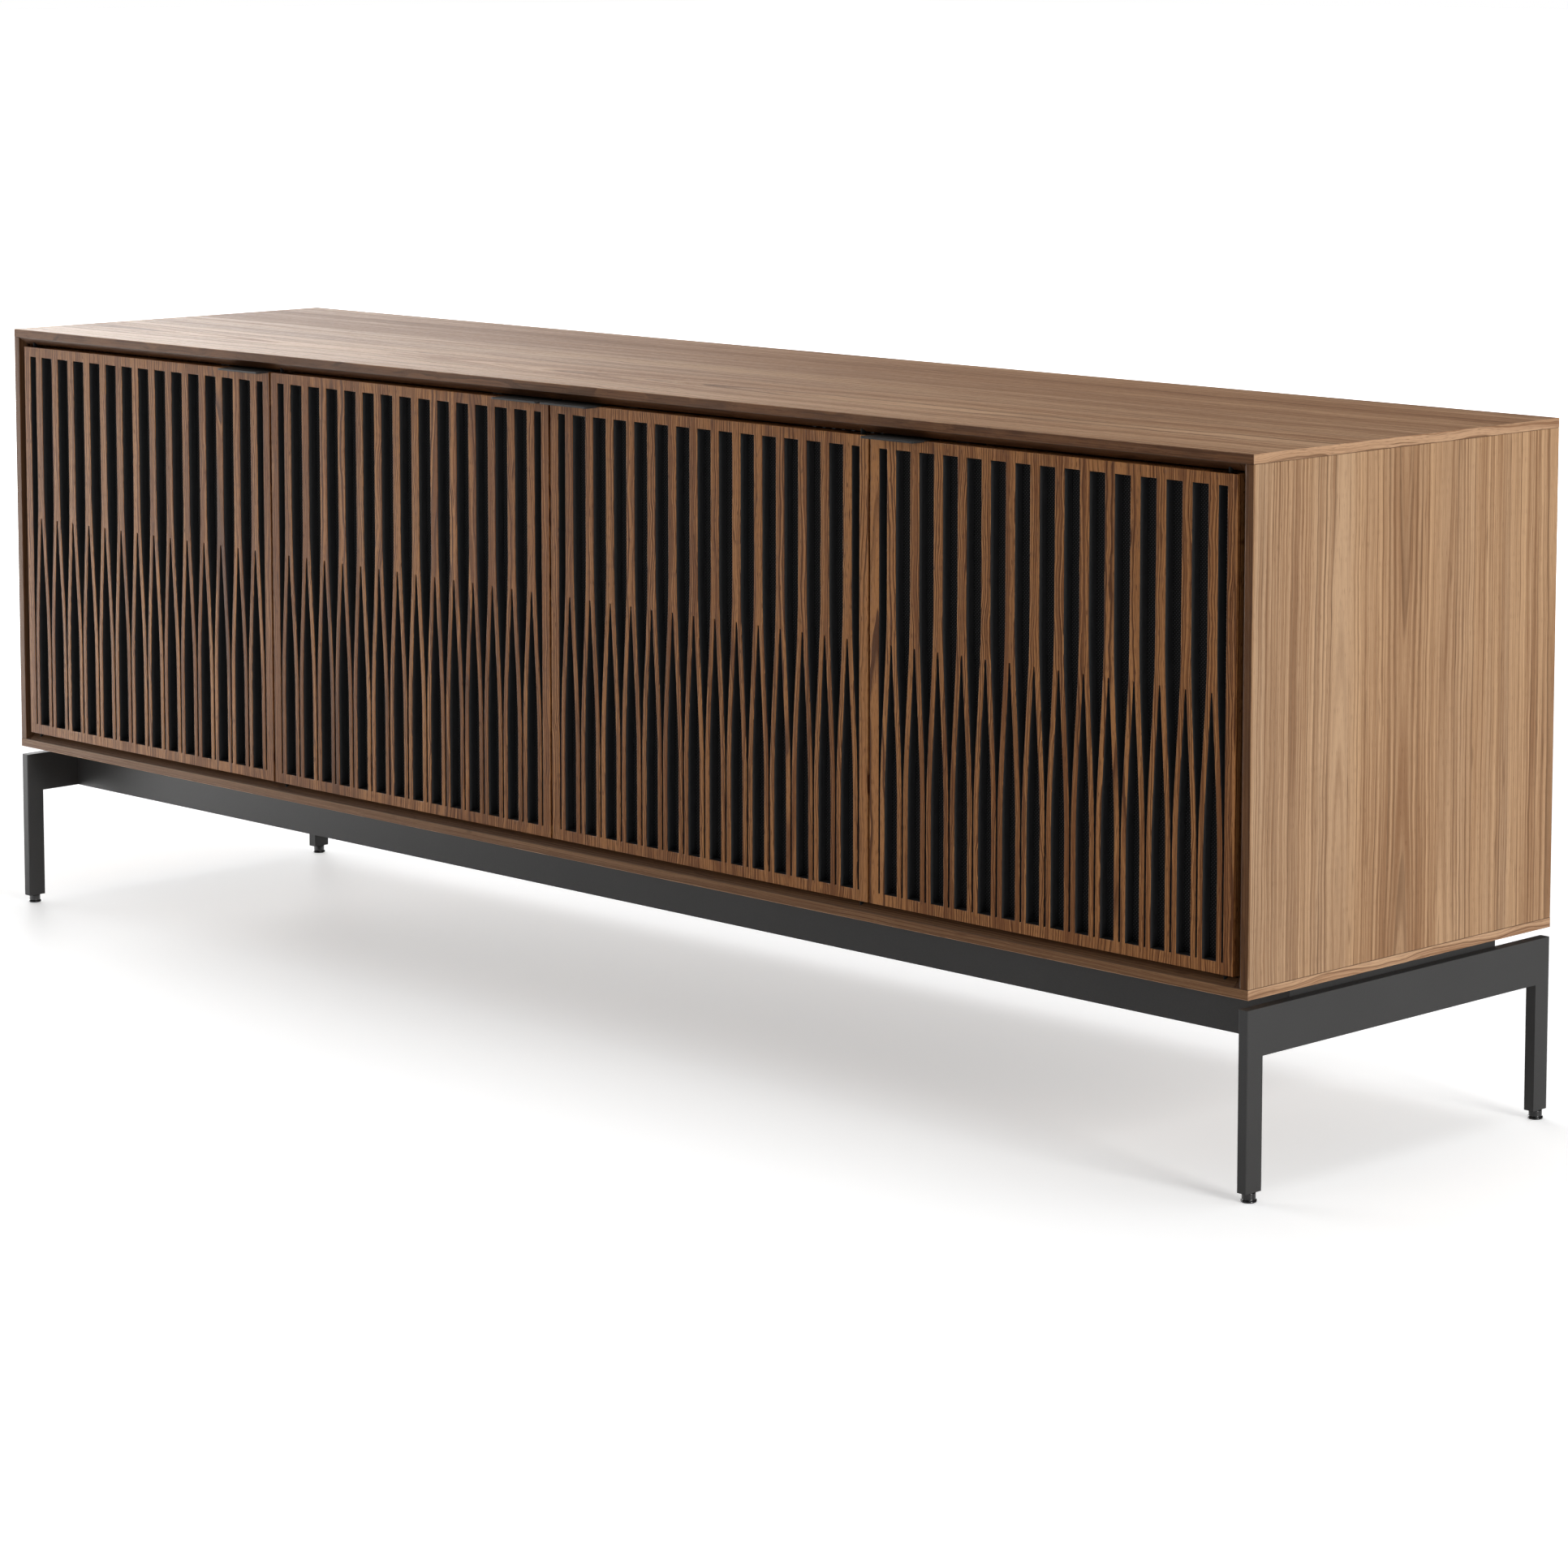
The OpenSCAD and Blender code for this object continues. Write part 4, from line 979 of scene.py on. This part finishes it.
class CABINET_OT_stage(bpy.types.Operator):
    """Set up the floor, the lights and the camera"""
    bl_idname = "cabinet.stage"
    bl_label = "Stage"

    def execute(self, context):
        settings = context.scene.cabinet_stage
        self.place_camera(context, settings)
        self.light_room(context, settings)
        self.add_floor(context, settings)
        context.scene.view_settings.view_transform = "Standard"
        return {"FINISHED"}

    @staticmethod
    def place_camera(context, settings):
        """A camera that tilts a little less than it looks down. Its shift does the rest, so that
        upright lines stay nearly upright."""
        data = bpy.data.cameras.new("camera")
        data.lens = settings.lens
        data.sensor_width = 36.0
        data.shift_y = settings.shift
        data.dof.use_dof = False
        camera = bpy.data.objects.new("camera", data)
        context.scene.collection.objects.link(camera)
        camera.location = settings.camera_place
        camera.rotation_euler = (math.pi / 2 - settings.tilt, 0.0, settings.heading)
        context.scene.camera = camera

    @staticmethod
    def area_light(context, name, place, target, size, power, colour=(1.0, 1.0, 1.0)):
        data = bpy.data.lights.new(name, "AREA")
        data.shape = "RECTANGLE"
        data.size, data.size_y = size
        data.energy = power
        data.color = colour
        light = bpy.data.objects.new(name, data)
        context.scene.collection.objects.link(light)
        light.location = place
        away = Vector(target) - Vector(place)
        light.rotation_euler = away.to_track_quat("-Z", "Y").to_euler()

    def light_room(self, context, settings):
        """A low key at the right, a soft light high above, a low fill at the front left, and the walls
        and ceiling of the room."""
        aim = (0.0, 0.0, 0.4)
        self.area_light(context, "key", (9.0, -0.9, 3.0), aim, (3.0, 3.0), settings.key,
                        (1.0, 0.99, 0.97))
        self.area_light(context, "overhead", (0.4, 1.1, 7.0), aim, (5.5, 3.0), settings.overhead)
        self.area_light(context, "fill", (-1.4, -8.2, 2.6), aim, (3.0, 2.4), settings.fill)
        self.area_light(context, "low_fill", (-3.3, -1.5, 0.3), (-0.9, -0.2, 0.3), (1.0, 0.5),
                        settings.low_fill)
        world = bpy.data.worlds.new("room")
        world.use_nodes = True
        context.scene.world = world
        tree = world.node_tree
        tree.nodes.clear()
        way = put(tree, "TexCoord")["Generated"].split()
        level = (way[0] * way[0] + way[1] * way[1]).calc("SQRT")
        low = way[2].remap(0.30, 0.55, 1.0, 0.0, smooth=True)
        left = (way[0] / level).remap(-0.88, -0.69, 1.0, 0.0, smooth=True)
        front = (way[1] / level).remap(-0.60, -0.38, smooth=True)
        above = way[2].remap(0.40, 0.75, smooth=True)
        strength = left * front * low * settings.left_wall + settings.room + above * settings.ceiling
        room = put(tree, "Background", {"Color": (1, 1, 1, 1), "Strength": strength})[0]
        white = put(tree, "Background", {"Color": (1, 1, 1, 1), "Strength": 1.0})[0]
        mix = put(tree, "MixShader", {0: seen_straight(put(tree, "LightPath")), 1: room, 2: white})
        put(tree, "OutputWorld", {"Surface": mix[0]})

    @staticmethod
    def add_floor(context, settings):
        """A wide pale floor. It is raised towards white where it is seen, more so far from the cabinet,
        and keeps the shadow below it; in reflections it glows at the left."""
        half = 60.0
        corners = np.array([[-half, -half, 0], [half, -half, 0], [half, half, 0], [-half, half, 0]])
        mesh = mesh_from("floor", corners, [[0, 1, 2, 3]])
        floor = bpy.data.objects.new("floor", mesh)
        context.scene.collection.objects.link(floor)
        made, tree, shader = new_material("floor_white")
        place = object_place(tree)
        axes = place.split()
        grey = noise(tree, place, 3.0).remap(0.0, 1.0, 0.90, 0.94)
        ray = put(tree, "LightPath")
        reach = put(tree, "VectorMath", {0: place}, operation="LENGTH")["Value"]
        lift = reach.remap(1.8, 4.0, smooth=True) + settings.floor_lift
        glow = (axes[0].remap(-3.0, -0.6, 1.0, 0.0, smooth=True)
                * axes[1].remap(-2.7, -0.9, 0.0, settings.floor_glow, smooth=True)
                * ray["Is Glossy Ray"])
        fill(shader, {
            "Base Color": put(tree, "CombineColor", {0: grey * 0.985, 1: grey * 0.993, 2: grey})[0],
            "Roughness": 0.6,
            "Emission Color": (1, 1, 1, 1),
            "Emission Strength": seen_straight(ray) * lift + glow})
        mesh.materials.append(made)


class CABINET_PT_panel(bpy.types.Panel):
    """Lists the cabinet's pieces in the order in which they are made"""
    bl_idname = "CABINET_PT_panel"
    bl_label = "Media Cabinet"
    bl_space_type = "VIEW_3D"
    bl_region_type = "UI"
    bl_category = "Cabinet"

    def draw(self, context):
        layout = self.layout
        for name, settings in SETTINGS.items():
            box = layout.box()
            box.label(text=name.replace("cabinet_", "").capitalize())
            for key in settings.__annotations__:
                box.prop(getattr(context.scene, name), key)
        for operator in OPERATORS:
            layout.operator(operator.bl_idname)


SETTINGS = {
    "cabinet_walnut": WalnutSettings,
    "cabinet_grille": GrilleSettings,
    "cabinet_cloth": ClothSettings,
    "cabinet_steel": SteelSettings,
    "cabinet_foot": FootSettings,
    "cabinet_stage": StageSettings,
}
OPERATORS = (
    CABINET_OT_stage,
    CABINET_OT_case,
    CABINET_OT_grilles,
    CABINET_OT_cloth,
    CABINET_OT_base,
    CABINET_OT_pulls,
    CABINET_OT_feet,
    CABINET_OT_hardware,
)


def register():
    for kind in (*SETTINGS.values(), *OPERATORS, CABINET_PT_panel):
        bpy.utils.register_class(kind)
    for name, kind in SETTINGS.items():
        setattr(bpy.types.Scene, name, bpy.props.PointerProperty(type=kind))


def unregister():
    for name in SETTINGS:
        delattr(bpy.types.Scene, name)
    for kind in reversed((*SETTINGS.values(), *OPERATORS, CABINET_PT_panel)):
        bpy.utils.unregister_class(kind)


def main():
    register()
    for operator in OPERATORS:
        _, name = operator.bl_idname.split(".")
        getattr(bpy.ops.cabinet, name)()


if __name__ == "__main__":
    main()
